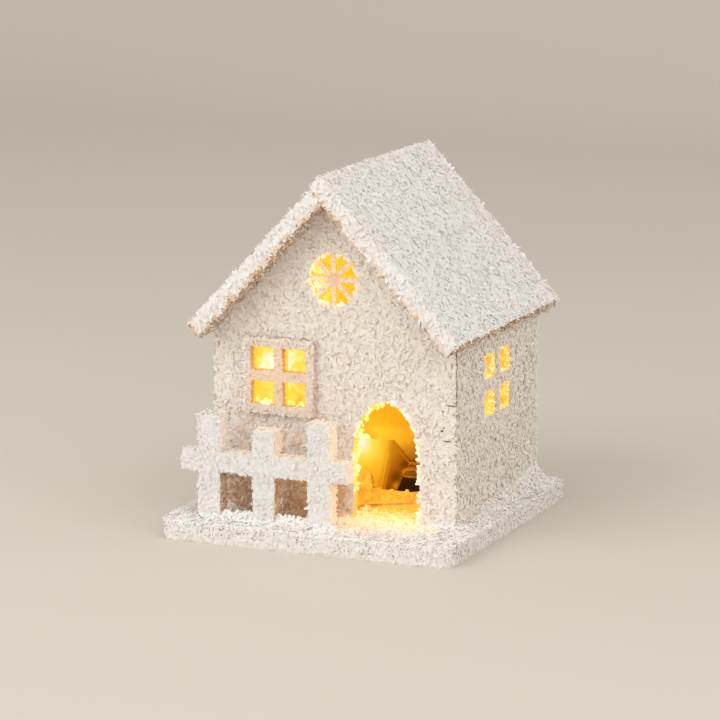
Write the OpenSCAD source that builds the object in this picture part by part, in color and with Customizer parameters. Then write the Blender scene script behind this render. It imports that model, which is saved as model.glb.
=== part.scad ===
// Wooden christmas house with a flake coat and a battery light, in millimetres.
// X runs along the width, the front faces -Y and Z is up.
// The origin is the middle of the base board's underside.

/* [Base board] */
// Width of the base board
base_w = 128; // [116:1:150]
// Depth of the base board
base_d = 133; // [122:1:155]
// Thickness of the base board with its coat
base_t = 8; // [7:0.5:10]
// Corner radius of the base board
base_corner_r = 6; // [3:0.5:12]

/* [Walls] */
// Yard left beside each side wall
side_yard = 10.5; // [6:0.5:14]
// Depth of the house over its gable walls
house_d = 91; // [82:1:96]
// Yard left behind the back wall
back_yard = 10; // [6:0.5:14]
// Height of the side walls at their outer face
side_wall_h = 75; // [70:1:85]
// Thickness of a wall with its coat
wall_t = 4.5; // [4:0.1:6]
// Thickness of the bare board that the tabs are cut from
board_t = 3; // [2.4:0.1:3.8]
// Width of the tabs below the walls
tab_w = 8; // [6:0.5:10]
// Depth of the tabs in the base board
tab_h = 4; // [2:0.5:5]
// Room round a tab in its slot
tab_room = 0.1; // [0.05:0.05:0.3]

/* [Roof] */
// Pitch of both roof panels in degrees
roof_pitch = 47; // [42:0.5:52]
// Thickness of a roof panel with its coat
roof_t = 6.7; // [5:0.1:8]
// Reach of the roof in front of the front wall
gable_reach = 12; // [6:0.5:16]
// Reach of the eaves beyond the side walls
eave_reach = 6; // [5:0.5:10]
// Step of the right panel over the left one at the ridge
ridge_step = 1; // [0.5:0.1:2]

/* [Door] */
// Place of the doorway's middle across the front wall
door_x = 23.3; // [18:0.5:28]
// Width of the doorway
door_w = 29.5; // [22:0.5:34]
// Height of the doorway over the base board
door_h = 50.5; // [42:0.5:58]
// Rise of the doorway's arch
door_rise = 23.5; // [15:0.5:28]

/* [Front window] */
// Place of the front window's middle across the front wall
front_window_x = -23.5; // [-28:0.5:-20]
// Height of the front window's middle over the base board
front_window_z = 57.4; // [52:0.2:62]
// Side of the square window frame
frame_side = 31.5; // [29:0.5:36]
// Thickness of the window frame in front of the wall
frame_t = 3; // [2:0.2:4]
// Width of a front pane
front_pane_w = 10.8; // [9:0.1:11.5]
// Height of a front pane
front_pane_h = 10.2; // [9:0.1:11.5]
// Width of the window frame's upright bar
frame_bar_w = 3.4; // [2.4:0.1:4.5]
// Height of the window frame's cross bar
frame_bar_h = 4; // [2.4:0.1:4.5]
// Step from a frame bar back to the wall behind it
frame_step = 0.6; // [0.2:0.1:0.9]

/* [Side windows] */
// Height of the side windows' middle over the base board
side_window_z = 53; // [45:0.5:58]
// Width of a side pane
side_pane_w = 12.6; // [9:0.1:15]
// Height of a side pane
side_pane_h = 11; // [9:0.1:14]
// Width of the upright bar between side panes
side_bar_w = 4.2; // [3:0.1:6]
// Height of the cross bar between side panes
side_bar_h = 4.6; // [3:0.1:6]

/* [Round window] */
// Height of the round window's middle over the base board
round_window_z = 99; // [94:0.5:104]
// Diameter of the round window
round_window_d = 22.4; // [16:0.2:26]
// Diameter of the hub where the spokes meet
hub_d = 5.4; // [4:0.2:7]
// Width of a spoke
spoke_w = 2.1; // [1.5:0.1:3]
// Count of spokes
spokes = 8; // [4:2:10]

/* [Fence] */
// Place of the fence's middle across the yard
fence_x = -21; // [-25:0.5:-15]
// Distance of the fence from the base board's front edge
fence_inset = 9; // [6:0.5:14]
// Thickness of the fence with its coat
fence_t = 6.5; // [5:0.1:8]
// Width of a picket
picket_w = 9.4; // [7:0.1:12]
// Distance between the middles of two pickets
picket_pitch = 24.5; // [20:0.5:28]
// Height of the outer pickets over the base board
picket_h = 43.6; // [36:0.2:50]
// How much lower the middle picket ends
middle_drop = 5; // [0:0.5:8]
// Length of the fence rail
rail_len = 73.5; // [64:0.5:84]
// Height of the fence rail
rail_h = 8; // [6:0.2:11]
// Height of the rail's middle over the base board
rail_z = 24.3; // [18:0.1:30]

/* [Sill strip] */
// Distance of the sill strip behind the front wall
sill_setback = 20.5; // [16:0.5:24]
// Height of the sill strip
sill_h = 6.5; // [5:0.5:9]
// Thickness of the sill strip
sill_t = 3; // [2.4:0.1:4]

/* [Snow bank] */
// Height of the bank of flakes at the back end of the right wall
bank_h = 7; // [4:0.5:10]
// Yard left free beside the bank at its back end
bank_margin = 1; // [0.5:0.5:4]
// How much narrower the bank is at its front end
bank_narrowing = 4; // [0:0.5:6]
// Radius of the bank's hollow slope
bank_curve = 14; // [10:0.5:30]

/* [Window film] */
// Thickness of the yellow film behind the windows
film_t = 0.4; // [0.3:0.1:0.8]
// Reach of the film beyond the panes that it covers
film_reach = 2; // [1:0.5:3]
// Width of the folded screen's flat wing
screen_w = 28.5; // [22:0.5:36]
// Place of the screen's fold across the house, at the floor
fold_x = 9; // [6:0.5:12]
// Lean of the screen's fold to the right
fold_lean = 12; // [0:1:15]
// Height of the screen over the base board at its free side
screen_h = 26.5; // [22:0.5:32]
// How much higher the screen stands at its fold
screen_peak = 1.5; // [0:0.5:4]
// Angle that the screen's folded wing turns back by
fold_angle = 60; // [40:5:75]
// Reach of the screen's folded wing at its outer corner
wing_reach = 11; // [8:0.5:14]
// Reach of the screen's folded wing at the floor
wing_foot = 5.5; // [3:0.5:8]
// Height of the folded wing's outer corner along the fold
wing_h = 20; // [14:0.5:24]

/* [Battery light] */
// Diameter of a battery cell
cell_d = 10.5; // [10:0.1:11.5]
// Length of a battery cell over its button
cell_len = 44.5; // [42:0.5:48]
// Diameter of a cell's button
button_d = 3.8; // [3:0.1:4.5]
// Height of a cell's button
button_h = 1.2; // [0.8:0.1:1.6]
// Distance of the battery case from the back wall
case_setback = 2.5; // [2:0.5:6]
// Thickness of the battery case's walls
case_wall = 1.5; // [1.3:0.1:1.8]
// Thickness of the battery case's flange
flange_t = 2; // [1.6:0.1:2.4]
// Reach of the flange where the screws sit
flange_reach = 7; // [6:0.5:9]
// Reach of the flange at its long sides
flange_side = 2; // [1:0.5:3]
// Room between the table and the battery case
case_lift = 0.5; // [0.3:0.1:0.8]
// Thickness of the battery cover
cover_t = 1.6; // [1.4:0.1:2]
// Diameter of the battery cover's hinge pin
hinge_pin_d = 1.2; // [1:0.1:1.4]
// Length of the springs that press the cells
spring_len = 4.2; // [3.4:0.1:5]
// Thickness of the contact plates
contact_t = 0.5; // [0.4:0.05:0.7]
// Width of the bay that holds the circuit board
board_bay_w = 9; // [8:0.5:11]
// Thickness of the circuit board
circuit_t = 1.2; // [0.8:0.1:1.6]
// Travel of the switch knob
switch_travel = 2.5; // [1.5:0.1:3]
// Side of the square switch knob
knob_side = 2.4; // [2:0.1:3]
// Place of the switch along the circuit board
switch_x = 10; // [6:0.5:14]
// Place of the lamp along the circuit board
lamp_x = -20; // [-21:0.5:-8]
// Height of the collar under the lamp
collar_h = 1; // [0.8:0.1:4]
// Diameter of the lamp
lamp_d = 5; // [4:0.1:6]
// Height of the lamp over its foot
lamp_h = 8.6; // [7:0.1:10]
// Diameter of the collar under the lamp
collar_d = 7.6; // [7:0.1:9]
// Diameter of the case screws
screw_d = 2.2; // [2:0.1:2.6]
// Diameter of the case screws' heads
screw_head_d = 4.6; // [4:0.1:5]
// Length of the case screws
screw_len = 6; // [5:0.1:6.2]
// Clearance between pieces that move past each other
clearance = 0.3; // [0.25:0.05:0.4]

/* [Hidden] */

$fn = 48;
over = 1;

// House
house_w = base_w - 2 * side_yard;
half_w = house_w / 2;
back_y = base_d / 2 - back_yard;
front_y = back_y - house_d;
mid_y = (front_y + back_y) / 2;
eave_z = base_t + side_wall_h;
peak_z = eave_z + half_w * tan(roof_pitch);
side_bevel = wall_t * tan(roof_pitch);
door_spring_z = base_t + door_h - door_rise;
door_side_x = door_x + door_w / 2;
tab_spread = house_d / 4;

// Roof
roof_front_y = front_y - gable_reach;
roof_back_y = base_d / 2;
roof_run = (half_w + eave_reach - roof_t * sin(roof_pitch)) / cos(roof_pitch);
roof_lap = roof_t / sin(2 * roof_pitch);

// Snow bank, with the slope's middle found from the two edges that it runs through
bank_w = side_yard - bank_margin;
bank_turn = atan(bank_narrowing / house_d);
bank_chord = norm([bank_w, bank_h]);
bank_bow = sqrt(bank_curve * bank_curve - bank_chord * bank_chord / 4);
bank_mid_x = bank_w / 2 + bank_bow * bank_h / bank_chord;
bank_mid_z = bank_h / 2 + bank_bow * bank_w / bank_chord;

// Window film
room_front_y = front_y + wall_t;
room_side_x = half_w - wall_t;
sill_y = room_front_y + sill_setback;
screen_y = sill_y + sill_t;

// Fence
fence_y = -base_d / 2 + fence_inset;
tenon_w = picket_w * 0.6;
tenon_t = fence_t * 0.5;

// Battery case
cell_play = 0.4;
cell_gap = 0.7;
seat_room = 0.2;
cell_bay_len = cell_len + 2 * contact_t + spring_len;
cell_bay_w = 2 * cell_d + cell_gap + 2 * cell_play;
case_len = cell_bay_len + 2 * case_wall;
case_w = cell_bay_w + board_bay_w + 3 * case_wall;
case_y = back_y - wall_t - case_setback - case_w;
cells_y = case_y + case_wall + cell_bay_w / 2;
board_bay_y = case_y + 2 * case_wall + cell_bay_w + board_bay_w / 2;
cover_top_z = case_lift + cover_t;
hinge_d = 2 * hinge_pin_d;
cell_z = case_lift + hinge_d + clearance + cell_d / 2;
cell_side = (cell_d + cell_gap) / 2;
front_cell_y = cells_y - cell_side;
rear_cell_y = cells_y + cell_side;
bay_top_z = cell_z + cell_d / 2 + cell_play;
case_top_z = bay_top_z + case_wall;
bay_end_x = cell_bay_len / 2;
flange_len = case_len + 2 * flange_reach;
flange_w = case_w + 2 * flange_side;
flange_top_z = case_lift + flange_t;
screw_x = case_len / 2 + flange_reach / 2;
screw_side = case_w / 2 - screw_head_d;
screw_y = case_y + case_w / 2;
sink_h = (screw_head_d - screw_d) / 2;
pilot_room = 0.3;

// Battery cover
hinge_x = -bay_end_x + clearance + hinge_d / 2;
hinge_z = case_lift + hinge_d / 2;
pin_reach = case_wall * 0.5;
cover_w = cell_bay_w - 2 * clearance;
cover_end_x = bay_end_x - clearance;
latch_w = 3;
latch_t = 1;
latch_back = 0.8;
latch_top_z = cell_z - cell_d / 3;
rib_w = 2;
cover_rib_x = cell_len / 4;
stop_len = 3;
stop_w = 1.2;
stop_h = 1;
stop_x = bay_end_x - stop_len - stop_h;

// Circuit board and switch
finger_depth = 1.5;
finger_room = 7;
finger_len = switch_travel + knob_side + finger_room;
bay_floor_z = case_lift + finger_depth + 1;
switch_z = bay_floor_z + seat_room;
switch_h = 3.6;
switch_ends = 4.2;
switch_len = switch_travel + knob_side + switch_ends;
switch_w = knob_side + 2;
circuit_z = switch_z + switch_h;
circuit_w = board_bay_w - 2 * clearance;
circuit_end_x = bay_end_x - contact_t - clearance;
circuit_short = 2.5;
circuit_len = cell_bay_len - circuit_short;
shoe_z = switch_z + 1;
shoe_h = 1.4;
shoe_side = knob_side + 0.8;
knob_tip_z = case_lift + 0.2;
tail_len = 3.5;
tail_w = 3;
plate_side = cell_d * 0.72;
plate_z = cell_z - plate_side / 2;
strip_z = bay_floor_z + seat_room;
strip_h = plate_z - clearance - strip_z;
notch_top_z = plate_z + plate_side;

// Lamp
cap_t = case_wall;
cap_ledge = case_wall / 2;
lamp_foot_z = case_top_z + collar_h;
lamp_rim_d = lamp_d * 1.16;
lamp_rim_h = 1;
lead_d = 0.6;
lead_pitch = 2.54;
lead_hole_d = 0.9;
collar_bore_d = 4.4;

// Coils of the springs
coils = 5;
coil_wire = 1;
coil_in = 0.15;
coil_r = cell_d * 0.36;
coil_step = 0.3;
coil_pitch = (spring_len + coil_in - coil_wire) / (coils - 1);

wood = [0.82, 0.68, 0.48];
coat = [0.93, 0.91, 0.87];
film = [1, 0.8, 0.2];
plastic = [0.14, 0.14, 0.15];
steel = [0.74, 0.75, 0.77];

// Stands an outline drawn in width and height up as a board, from y on backwards
module board_across(y, thickness) {
    translate([0, y + thickness, 0])
        rotate([90, 0, 0])
            linear_extrude(thickness)
                children();
}

// Box given by its corner nearest to the lower left front
module block(x, y, z, length, depth, height) {
    translate([x, y, z])
        cube([length, depth, height]);
}

module rounded_board(width, depth, radius) {
    square([width - 2 * radius, depth], center = true);
    square([width, depth - 2 * radius], center = true);
    for (sx = [-1, 1], sy = [-1, 1]) {
        translate([sx * (width / 2 - radius), sy * (depth / 2 - radius)])
            circle(r = radius);
    }
}

module four_panes(pane_w, pane_h, bar_w, bar_h) {
    for (sx = [-1, 1], sz = [-1, 1]) {
        translate([sx * (pane_w + bar_w) / 2, sz * (pane_h + bar_h) / 2])
            square([pane_w, pane_h], center = true);
    }
}

module gable_outline() {
    polygon([
        [-half_w, base_t],
        [half_w, base_t],
        [half_w, eave_z],
        [0, peak_z],
        [-half_w, eave_z]
    ]);
}

module doorway_outline() {
    arch = [for (i = [0 : 40]) let (a = 180 * i / 40)
        [door_x + door_w / 2 * cos(a), door_spring_z + door_rise * sin(a)]];
    polygon(concat(
        [[door_side_x - door_w, base_t - over], [door_side_x, base_t - over]],
        arch
    ));
}

module round_window_outline() {
    translate([0, base_t + round_window_z])
        difference() {
            circle(d = round_window_d);
            circle(d = hub_d);
            for (i = [0 : spokes / 2 - 1]) {
                rotate(i * 360 / spokes)
                    square([round_window_d + over, spoke_w], center = true);
            }
        }
}

module front_window_place() {
    translate([front_window_x, base_t + front_window_z])
        children();
}

// Tabs of the walls, with room round them for the slots in the base board
module front_tabs(room) {
    for (x = [front_window_x, (door_side_x + half_w) / 2]) {
        block(x - tab_w / 2 - room, front_y + wall_t - board_t - room, base_t - tab_h - room,
            tab_w + 2 * room, board_t + 2 * room, tab_h + 2 * room);
    }
}

module back_tabs(room) {
    for (x = [-house_w / 4, house_w / 4]) {
        block(x - tab_w / 2 - room, back_y - wall_t - room, base_t - tab_h - room,
            tab_w + 2 * room, board_t + 2 * room, tab_h + 2 * room);
    }
}

module right_tabs(room) {
    for (y = [mid_y - tab_spread, mid_y + tab_spread]) {
        block(half_w - wall_t - room, y - tab_w / 2 - room, base_t - tab_h - room,
            board_t + 2 * room, tab_w + 2 * room, tab_h + 2 * room);
    }
}

module fence_tenons(room) {
    for (i = [-1 : 1]) {
        block(fence_x + i * picket_pitch - tenon_w / 2 - room,
            fence_y + (fence_t - tenon_t) / 2 - room, base_t - tab_h - room,
            tenon_w + 2 * room, tenon_t + 2 * room, tab_h + 2 * room);
    }
}

module screw_places() {
    for (sx = [-1, 1], sy = [-1, 1]) {
        translate([sx * screw_x, screw_y + sy * screw_side, 0])
            children();
    }
}

module base_board() {
    color(coat)
        difference() {
            linear_extrude(base_t)
                rounded_board(base_w, base_d, base_corner_r);
            front_tabs(tab_room);
            back_tabs(tab_room);
            right_tabs(tab_room);
            mirror([1, 0, 0])
                right_tabs(tab_room);
            fence_tenons(tab_room);
            block(-case_len / 2 - seat_room, case_y - seat_room, -over,
                case_len + 2 * seat_room, case_w + 2 * seat_room, base_t + 2 * over);
            block(-flange_len / 2 - seat_room, case_y - flange_side - seat_room, -over,
                flange_len + 2 * seat_room, flange_w + 2 * seat_room, flange_top_z + over);
            screw_places()
                cylinder(d = screw_d, h = case_lift + screw_len + pilot_room);
        }
}

module front_wall() {
    color(coat) {
        board_across(front_y, wall_t)
            difference() {
                gable_outline();
                doorway_outline();
                round_window_outline();
                front_window_place()
                    four_panes(front_pane_w + 2 * frame_step, front_pane_h + 2 * frame_step,
                        frame_bar_w - 2 * frame_step, frame_bar_h - 2 * frame_step);
            }
        front_tabs(0);
    }
}

module back_wall() {
    color(coat) {
        board_across(back_y - wall_t, wall_t)
            gable_outline();
        back_tabs(0);
    }
}

module right_wall() {
    color(coat) {
        difference() {
            board_across(front_y + wall_t, house_d - 2 * wall_t)
                polygon([
                    [half_w - wall_t, base_t],
                    [half_w, base_t],
                    [half_w, eave_z],
                    [half_w - wall_t, eave_z + side_bevel]
                ]);
            translate([half_w - wall_t - over, mid_y, base_t + side_window_z])
                rotate([90, 0, 90])
                    linear_extrude(wall_t + 2 * over)
                        four_panes(side_pane_w, side_pane_h, side_bar_w, side_bar_h);
        }
        right_tabs(0);
    }
}

module left_wall() {
    mirror([1, 0, 0])
        right_wall();
}

// The right panel covers the end of the left one at the ridge
module right_roof() {
    color(coat)
        board_across(roof_front_y, roof_back_y - roof_front_y)
            translate([0, peak_z])
                rotate(-roof_pitch)
                    translate([-roof_lap - ridge_step, 0])
                        square([roof_run + roof_lap + ridge_step, roof_t]);
}

module left_roof() {
    lap_x = roof_lap * cos(roof_pitch);
    lap_z = roof_lap * sin(roof_pitch);
    end_x = roof_run * cos(roof_pitch);
    end_z = roof_run * sin(roof_pitch);
    color(coat)
        board_across(roof_front_y, roof_back_y - roof_front_y)
            translate([0, peak_z])
                polygon([
                    [0, 0],
                    [-lap_x, lap_z],
                    [-end_x - roof_t * sin(roof_pitch), -end_z + roof_t * cos(roof_pitch)],
                    [-end_x, -end_z]
                ]);
}

module window_frame() {
    color(coat)
        board_across(front_y - frame_t, frame_t)
            front_window_place()
                difference() {
                    square(frame_side, center = true);
                    four_panes(front_pane_w, front_pane_h, frame_bar_w, frame_bar_h);
                }
}

module fence() {
    color(coat) {
        board_across(fence_y, fence_t)
            translate([fence_x, base_t]) {
                translate([-rail_len / 2, rail_z - rail_h / 2])
                    square([rail_len, rail_h]);
                for (i = [-1 : 1]) {
                    translate([i * picket_pitch - picket_w / 2, 0])
                        square([picket_w, picket_h - (i == 0 ? middle_drop : 0)]);
                }
            }
        fence_tenons(0);
    }
}

// Flakes heaped along the right wall, lower towards the front
module snow_bank() {
    color(coat)
        difference() {
            block(half_w, front_y, base_t, bank_w + over, house_d, bank_h);
            translate([half_w + bank_mid_x, back_y, base_t + bank_mid_z])
                rotate([90, 0, -bank_turn])
                    translate([0, 0, -over])
                        cylinder(r = bank_curve, h = house_d + 3 * over);
        }
}

// Bare strip on the floor between the side walls, behind the doorway
module sill_strip() {
    color(wood)
        block(-room_side_x, sill_y, base_t, 2 * room_side_x, sill_t, sill_h);
}

// Sheet that covers four panes and the bars between them
module pane_film(pane_w, pane_h, bar_w, bar_h) {
    square([2 * (pane_w + film_reach) + bar_w, 2 * (pane_h + film_reach) + bar_h], center = true);
}

module front_film() {
    color(film)
        board_across(room_front_y, film_t)
            front_window_place()
                pane_film(front_pane_w, front_pane_h, frame_bar_w, frame_bar_h);
}

module round_film() {
    color(film)
        board_across(room_front_y, film_t)
            translate([0, base_t + round_window_z])
                square(round_window_d + 2 * film_reach, center = true);
}

module right_film() {
    color(film)
        translate([room_side_x - film_t, mid_y, base_t + side_window_z])
            rotate([90, 0, 90])
                linear_extrude(film_t)
                    pane_film(side_pane_w, side_pane_h, side_bar_w, side_bar_h);
}

module left_film() {
    mirror([1, 0, 0])
        right_film();
}

// Folded sheet glued to the back of the sill strip, between the doorway and the lamp
module screen_film() {
    peak_h = screen_h + screen_peak;
    peak_shift = peak_h * tan(fold_lean);
    fold_len = peak_h / cos(fold_lean);
    // keeps the leaning wing's foot on the floor
    foot_rise = wing_foot * cos(fold_angle) * tan(fold_lean);
    color(film) {
        board_across(screen_y, film_t)
            translate([fold_x, base_t])
                polygon([[-screen_w, 0], [0, 0], [peak_shift, peak_h], [-screen_w, screen_h]]);
        translate([fold_x, screen_y, base_t])
            rotate([0, fold_lean, 0])
                rotate(fold_angle)
                    board_across(0, film_t)
                        polygon([[0, 0], [wing_foot, foot_rise], [wing_reach, wing_h], [0, fold_len]]);
    }
}

module battery_case() {
    color(plastic) {
        difference() {
            union() {
                block(-case_len / 2, case_y, case_lift, case_len, case_w, case_top_z - case_lift);
                block(-flange_len / 2, case_y - flange_side, case_lift,
                    flange_len, flange_w, flange_t);
            }
            // bay for the cells, open below
            block(-bay_end_x, cells_y - cell_bay_w / 2, case_lift - over,
                cell_bay_len, cell_bay_w, bay_top_z - case_lift + over);
            // bay for the circuit board, open above, with a ledge for the cap
            block(-bay_end_x, board_bay_y - board_bay_w / 2, bay_floor_z,
                cell_bay_len, board_bay_w, case_top_z);
            block(-bay_end_x - cap_ledge, board_bay_y - board_bay_w / 2 - cap_ledge,
                case_top_z - cap_t, cell_bay_len + 2 * cap_ledge, board_bay_w + 2 * cap_ledge,
                cap_t + over);
            // notch that the contact tails pass through
            block(bay_end_x - contact_t - clearance, cells_y, bay_floor_z,
                contact_t + clearance, board_bay_y - cells_y, notch_top_z - bay_floor_z);
            // finger recess and slot for the switch knob
            block(switch_x - finger_len / 2, board_bay_y - board_bay_w / 2, case_lift - over,
                finger_len, board_bay_w, finger_depth + over);
            block(switch_x - (switch_travel + knob_side) / 2 - clearance,
                board_bay_y - knob_side / 2 - clearance, case_lift,
                switch_travel + knob_side + 2 * clearance, knob_side + 2 * clearance,
                bay_floor_z);
            // holes for the cover's hinge pins
            for (side = [-1, 1]) {
                translate([hinge_x, cells_y + side * (cell_bay_w / 2 + pin_reach / 2), hinge_z])
                    rotate([90, 0, 0])
                        cylinder(d = hinge_pin_d + 2 * clearance, h = pin_reach + 2 * clearance,
                            center = true);
            }
            // nail notch at the cover's free end
            translate([bay_end_x + case_wall, cells_y, case_lift - over])
                cylinder(d = 4 * case_wall + latch_w, h = cover_t / 2 + over);
            screw_places() {
                translate([0, 0, case_lift])
                    cylinder(d1 = screw_head_d, d2 = screw_d, h = sink_h);
                cylinder(d = screw_d, h = flange_top_z + over);
            }
        }
        // ribs under the circuit board
        for (x = [lamp_x + lead_pitch, circuit_end_x - tail_len - 2 * rib_w]) {
            block(x, board_bay_y - board_bay_w / 2, bay_floor_z,
                rib_w, board_bay_w, circuit_z - bay_floor_z);
        }
        // stops above the cover's free corners
        for (side = [-1, 1]) {
            block(stop_x, cells_y + side * (cell_bay_w - stop_w) / 2 - stop_w / 2,
                cover_top_z + clearance, stop_len, stop_w, stop_h);
        }
    }
}

module case_screws() {
    color(steel)
        screw_places()
            translate([0, 0, case_lift])
                difference() {
                    union() {
                        cylinder(d1 = screw_head_d, d2 = screw_d, h = sink_h);
                        cylinder(d = screw_d, h = screw_len);
                    }
                    for (turn = [0, 90]) {
                        rotate(turn)
                            translate([0, 0, -over])
                                linear_extrude(over + sink_h / 2)
                                    square([screw_head_d * 0.6, screw_d / 4], center = true);
                    }
                }
}

module battery_cover() {
    color(plastic) {
        block(hinge_x, cells_y - cover_w / 2, case_lift, cover_end_x - hinge_x, cover_w, cover_t);
        translate([hinge_x, cells_y, hinge_z])
            rotate([90, 0, 0]) {
                cylinder(d = hinge_d, h = cover_w, center = true);
                cylinder(d = hinge_pin_d, h = cell_bay_w + 2 * pin_reach, center = true);
            }
        block(bay_end_x - latch_back - latch_t, cells_y - latch_w / 2, case_lift,
            latch_t, latch_w, latch_top_z - case_lift);
        // ribs that keep the cells up
        for (x = [-cover_rib_x, cover_rib_x]) {
            block(x - rib_w / 2, cells_y - cover_w / 2, case_lift, rib_w, cover_w, hinge_d);
        }
    }
}

// Cell lying along X with its button towards +X, from the spring's end on
module cell() {
    rotate([0, 90, 0]) {
        cylinder(d = cell_d, h = cell_len - button_h);
        cylinder(d = button_d, h = cell_len);
    }
}

module front_cell() {
    color([0.2, 0.42, 0.3])
        translate([bay_end_x - contact_t - spring_len, front_cell_y, cell_z])
            mirror([1, 0, 0])
                cell();
}

module rear_cell() {
    color([0.2, 0.42, 0.3])
        translate([-bay_end_x + contact_t + spring_len, rear_cell_y, cell_z])
            cell();
}

// Conical spring that stands on a contact plate and points along +X
module spring() {
    rotate([0, 90, 0])
        for (i = [0 : coils - 1]) {
            translate([0, 0, coil_wire / 2 - coil_in + i * coil_pitch])
                rotate_extrude()
                    translate([coil_r - i * coil_step, 0])
                        circle(d = coil_wire);
        }
}

module contact_plate(x, y) {
    block(x, y - plate_side / 2, plate_z, contact_t, plate_side, plate_side);
}

module positive_contact() {
    color(steel) {
        contact_plate(bay_end_x - contact_t, rear_cell_y);
        block(bay_end_x - contact_t, rear_cell_y, circuit_z + circuit_t,
            contact_t, board_bay_y + tail_w / 2 - rear_cell_y, tail_w);
        block(bay_end_x - tail_len, board_bay_y - tail_w / 2, circuit_z + circuit_t,
            tail_len, tail_w, contact_t);
    }
}

module negative_contact() {
    color(steel) {
        contact_plate(bay_end_x - contact_t, front_cell_y);
        translate([bay_end_x - contact_t, front_cell_y, cell_z])
            mirror([1, 0, 0])
                spring();
        block(bay_end_x - contact_t, front_cell_y, strip_z,
            contact_t, tail_w, cell_z - strip_z);
        block(bay_end_x - contact_t, front_cell_y, strip_z,
            contact_t, board_bay_y - front_cell_y, strip_h);
        block(bay_end_x - contact_t, board_bay_y - tail_w / 2, strip_z,
            contact_t, tail_w, circuit_z - strip_z);
        block(bay_end_x - tail_len, board_bay_y - tail_w / 2, circuit_z - contact_t,
            tail_len, tail_w, contact_t);
    }
}

module bridge_contact() {
    color(steel) {
        contact_plate(-bay_end_x, front_cell_y);
        contact_plate(-bay_end_x, rear_cell_y);
        block(-bay_end_x, front_cell_y, cell_z - tail_w / 2,
            contact_t, rear_cell_y - front_cell_y, tail_w);
        translate([-bay_end_x + contact_t, rear_cell_y, cell_z])
            spring();
    }
}

module lead_places() {
    for (side = [-1, 1]) {
        translate([lamp_x + side * lead_pitch / 2, board_bay_y, 0])
            children();
    }
}

module circuit_board() {
    color([0.16, 0.38, 0.24])
        difference() {
            block(circuit_end_x - circuit_len, board_bay_y - circuit_w / 2, circuit_z,
                circuit_len, circuit_w, circuit_t);
            lead_places()
                translate([0, 0, circuit_z - over])
                    cylinder(d = lead_d, h = circuit_t + 2 * over);
        }
}

module switch_body() {
    room_len = shoe_side + switch_travel + 2 * clearance;
    slot_len = knob_side + switch_travel + 2 * clearance;
    color([0.2, 0.2, 0.21])
        difference() {
            block(switch_x - switch_len / 2, board_bay_y - switch_w / 2, switch_z,
                switch_len, switch_w, switch_h);
            block(switch_x - room_len / 2, board_bay_y - shoe_side / 2 - clearance,
                shoe_z - clearance, room_len, shoe_side + 2 * clearance,
                shoe_h + 2 * clearance);
            block(switch_x - slot_len / 2, board_bay_y - knob_side / 2 - clearance,
                switch_z - over, slot_len, knob_side + 2 * clearance, 2 * over);
        }
}

// The knob rests at its +X end, where the lamp is on
module switch_knob() {
    knob_x = switch_x + switch_travel / 2;
    color([0.12, 0.12, 0.13]) {
        block(knob_x - knob_side / 2, board_bay_y - knob_side / 2, knob_tip_z,
            knob_side, knob_side, shoe_z + shoe_h - knob_tip_z);
        block(knob_x - shoe_side / 2, board_bay_y - shoe_side / 2, shoe_z,
            shoe_side, shoe_side, shoe_h);
    }
}

module lamp_cap() {
    cap_room = 0.1;
    cap_len = cell_bay_len + 2 * cap_ledge - 2 * cap_room;
    cap_w = board_bay_w + 2 * cap_ledge - 2 * cap_room;
    color(plastic)
        difference() {
            union() {
                block(-cap_len / 2, board_bay_y - cap_w / 2, case_top_z - cap_t,
                    cap_len, cap_w, cap_t);
                translate([lamp_x, board_bay_y, case_top_z - cap_t])
                    cylinder(d = collar_d, h = collar_h + cap_t);
            }
            translate([lamp_x, board_bay_y, case_top_z - cap_t - over])
                cylinder(d = collar_bore_d, h = collar_h + cap_t + 2 * over);
        }
}

module lamp_leads() {
    color(steel)
        lead_places()
            translate([0, 0, circuit_z])
                cylinder(d = lead_d, h = lamp_foot_z - circuit_z);
}

module led_lamp() {
    color([1, 0.88, 0.6])
        translate([lamp_x, board_bay_y, lamp_foot_z]) {
            cylinder(d = lamp_rim_d, h = lamp_rim_h);
            cylinder(d = lamp_d, h = lamp_h - lamp_d / 2);
            translate([0, 0, lamp_h - lamp_d / 2])
                sphere(d = lamp_d);
        }
}

base_board();
front_wall();
back_wall();
left_wall();
right_wall();
left_roof();
right_roof();
window_frame();
fence();
snow_bank();
sill_strip();
front_film();
round_film();
left_film();
right_film();
screen_film();
battery_case();
case_screws();
battery_cover();
front_cell();
rear_cell();
positive_contact();
negative_contact();
bridge_contact();
circuit_board();
switch_body();
switch_knob();
lamp_cap();
lamp_leads();
led_lamp();
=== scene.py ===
import math

import bpy
import numpy as np
from mathutils import Matrix, Vector


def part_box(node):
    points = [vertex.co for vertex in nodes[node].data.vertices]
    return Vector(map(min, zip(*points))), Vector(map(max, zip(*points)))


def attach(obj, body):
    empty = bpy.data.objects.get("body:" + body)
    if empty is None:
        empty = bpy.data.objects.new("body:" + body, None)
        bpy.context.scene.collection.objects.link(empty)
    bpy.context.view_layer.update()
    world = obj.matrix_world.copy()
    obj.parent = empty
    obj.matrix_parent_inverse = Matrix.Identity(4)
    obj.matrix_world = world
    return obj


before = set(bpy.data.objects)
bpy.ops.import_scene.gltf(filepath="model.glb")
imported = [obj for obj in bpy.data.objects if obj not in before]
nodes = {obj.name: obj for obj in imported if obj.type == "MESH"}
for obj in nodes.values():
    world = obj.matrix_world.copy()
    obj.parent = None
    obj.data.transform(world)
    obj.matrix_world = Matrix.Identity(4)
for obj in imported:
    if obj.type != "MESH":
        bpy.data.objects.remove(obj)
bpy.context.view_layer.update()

MM = 0.001
# A hair's breadth, for places that only just pass a face
HAIR = 0.1 * MM
BLACK, WHITE = (0.0, 0.0, 0.0), (1.0, 1.0, 1.0)


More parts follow.
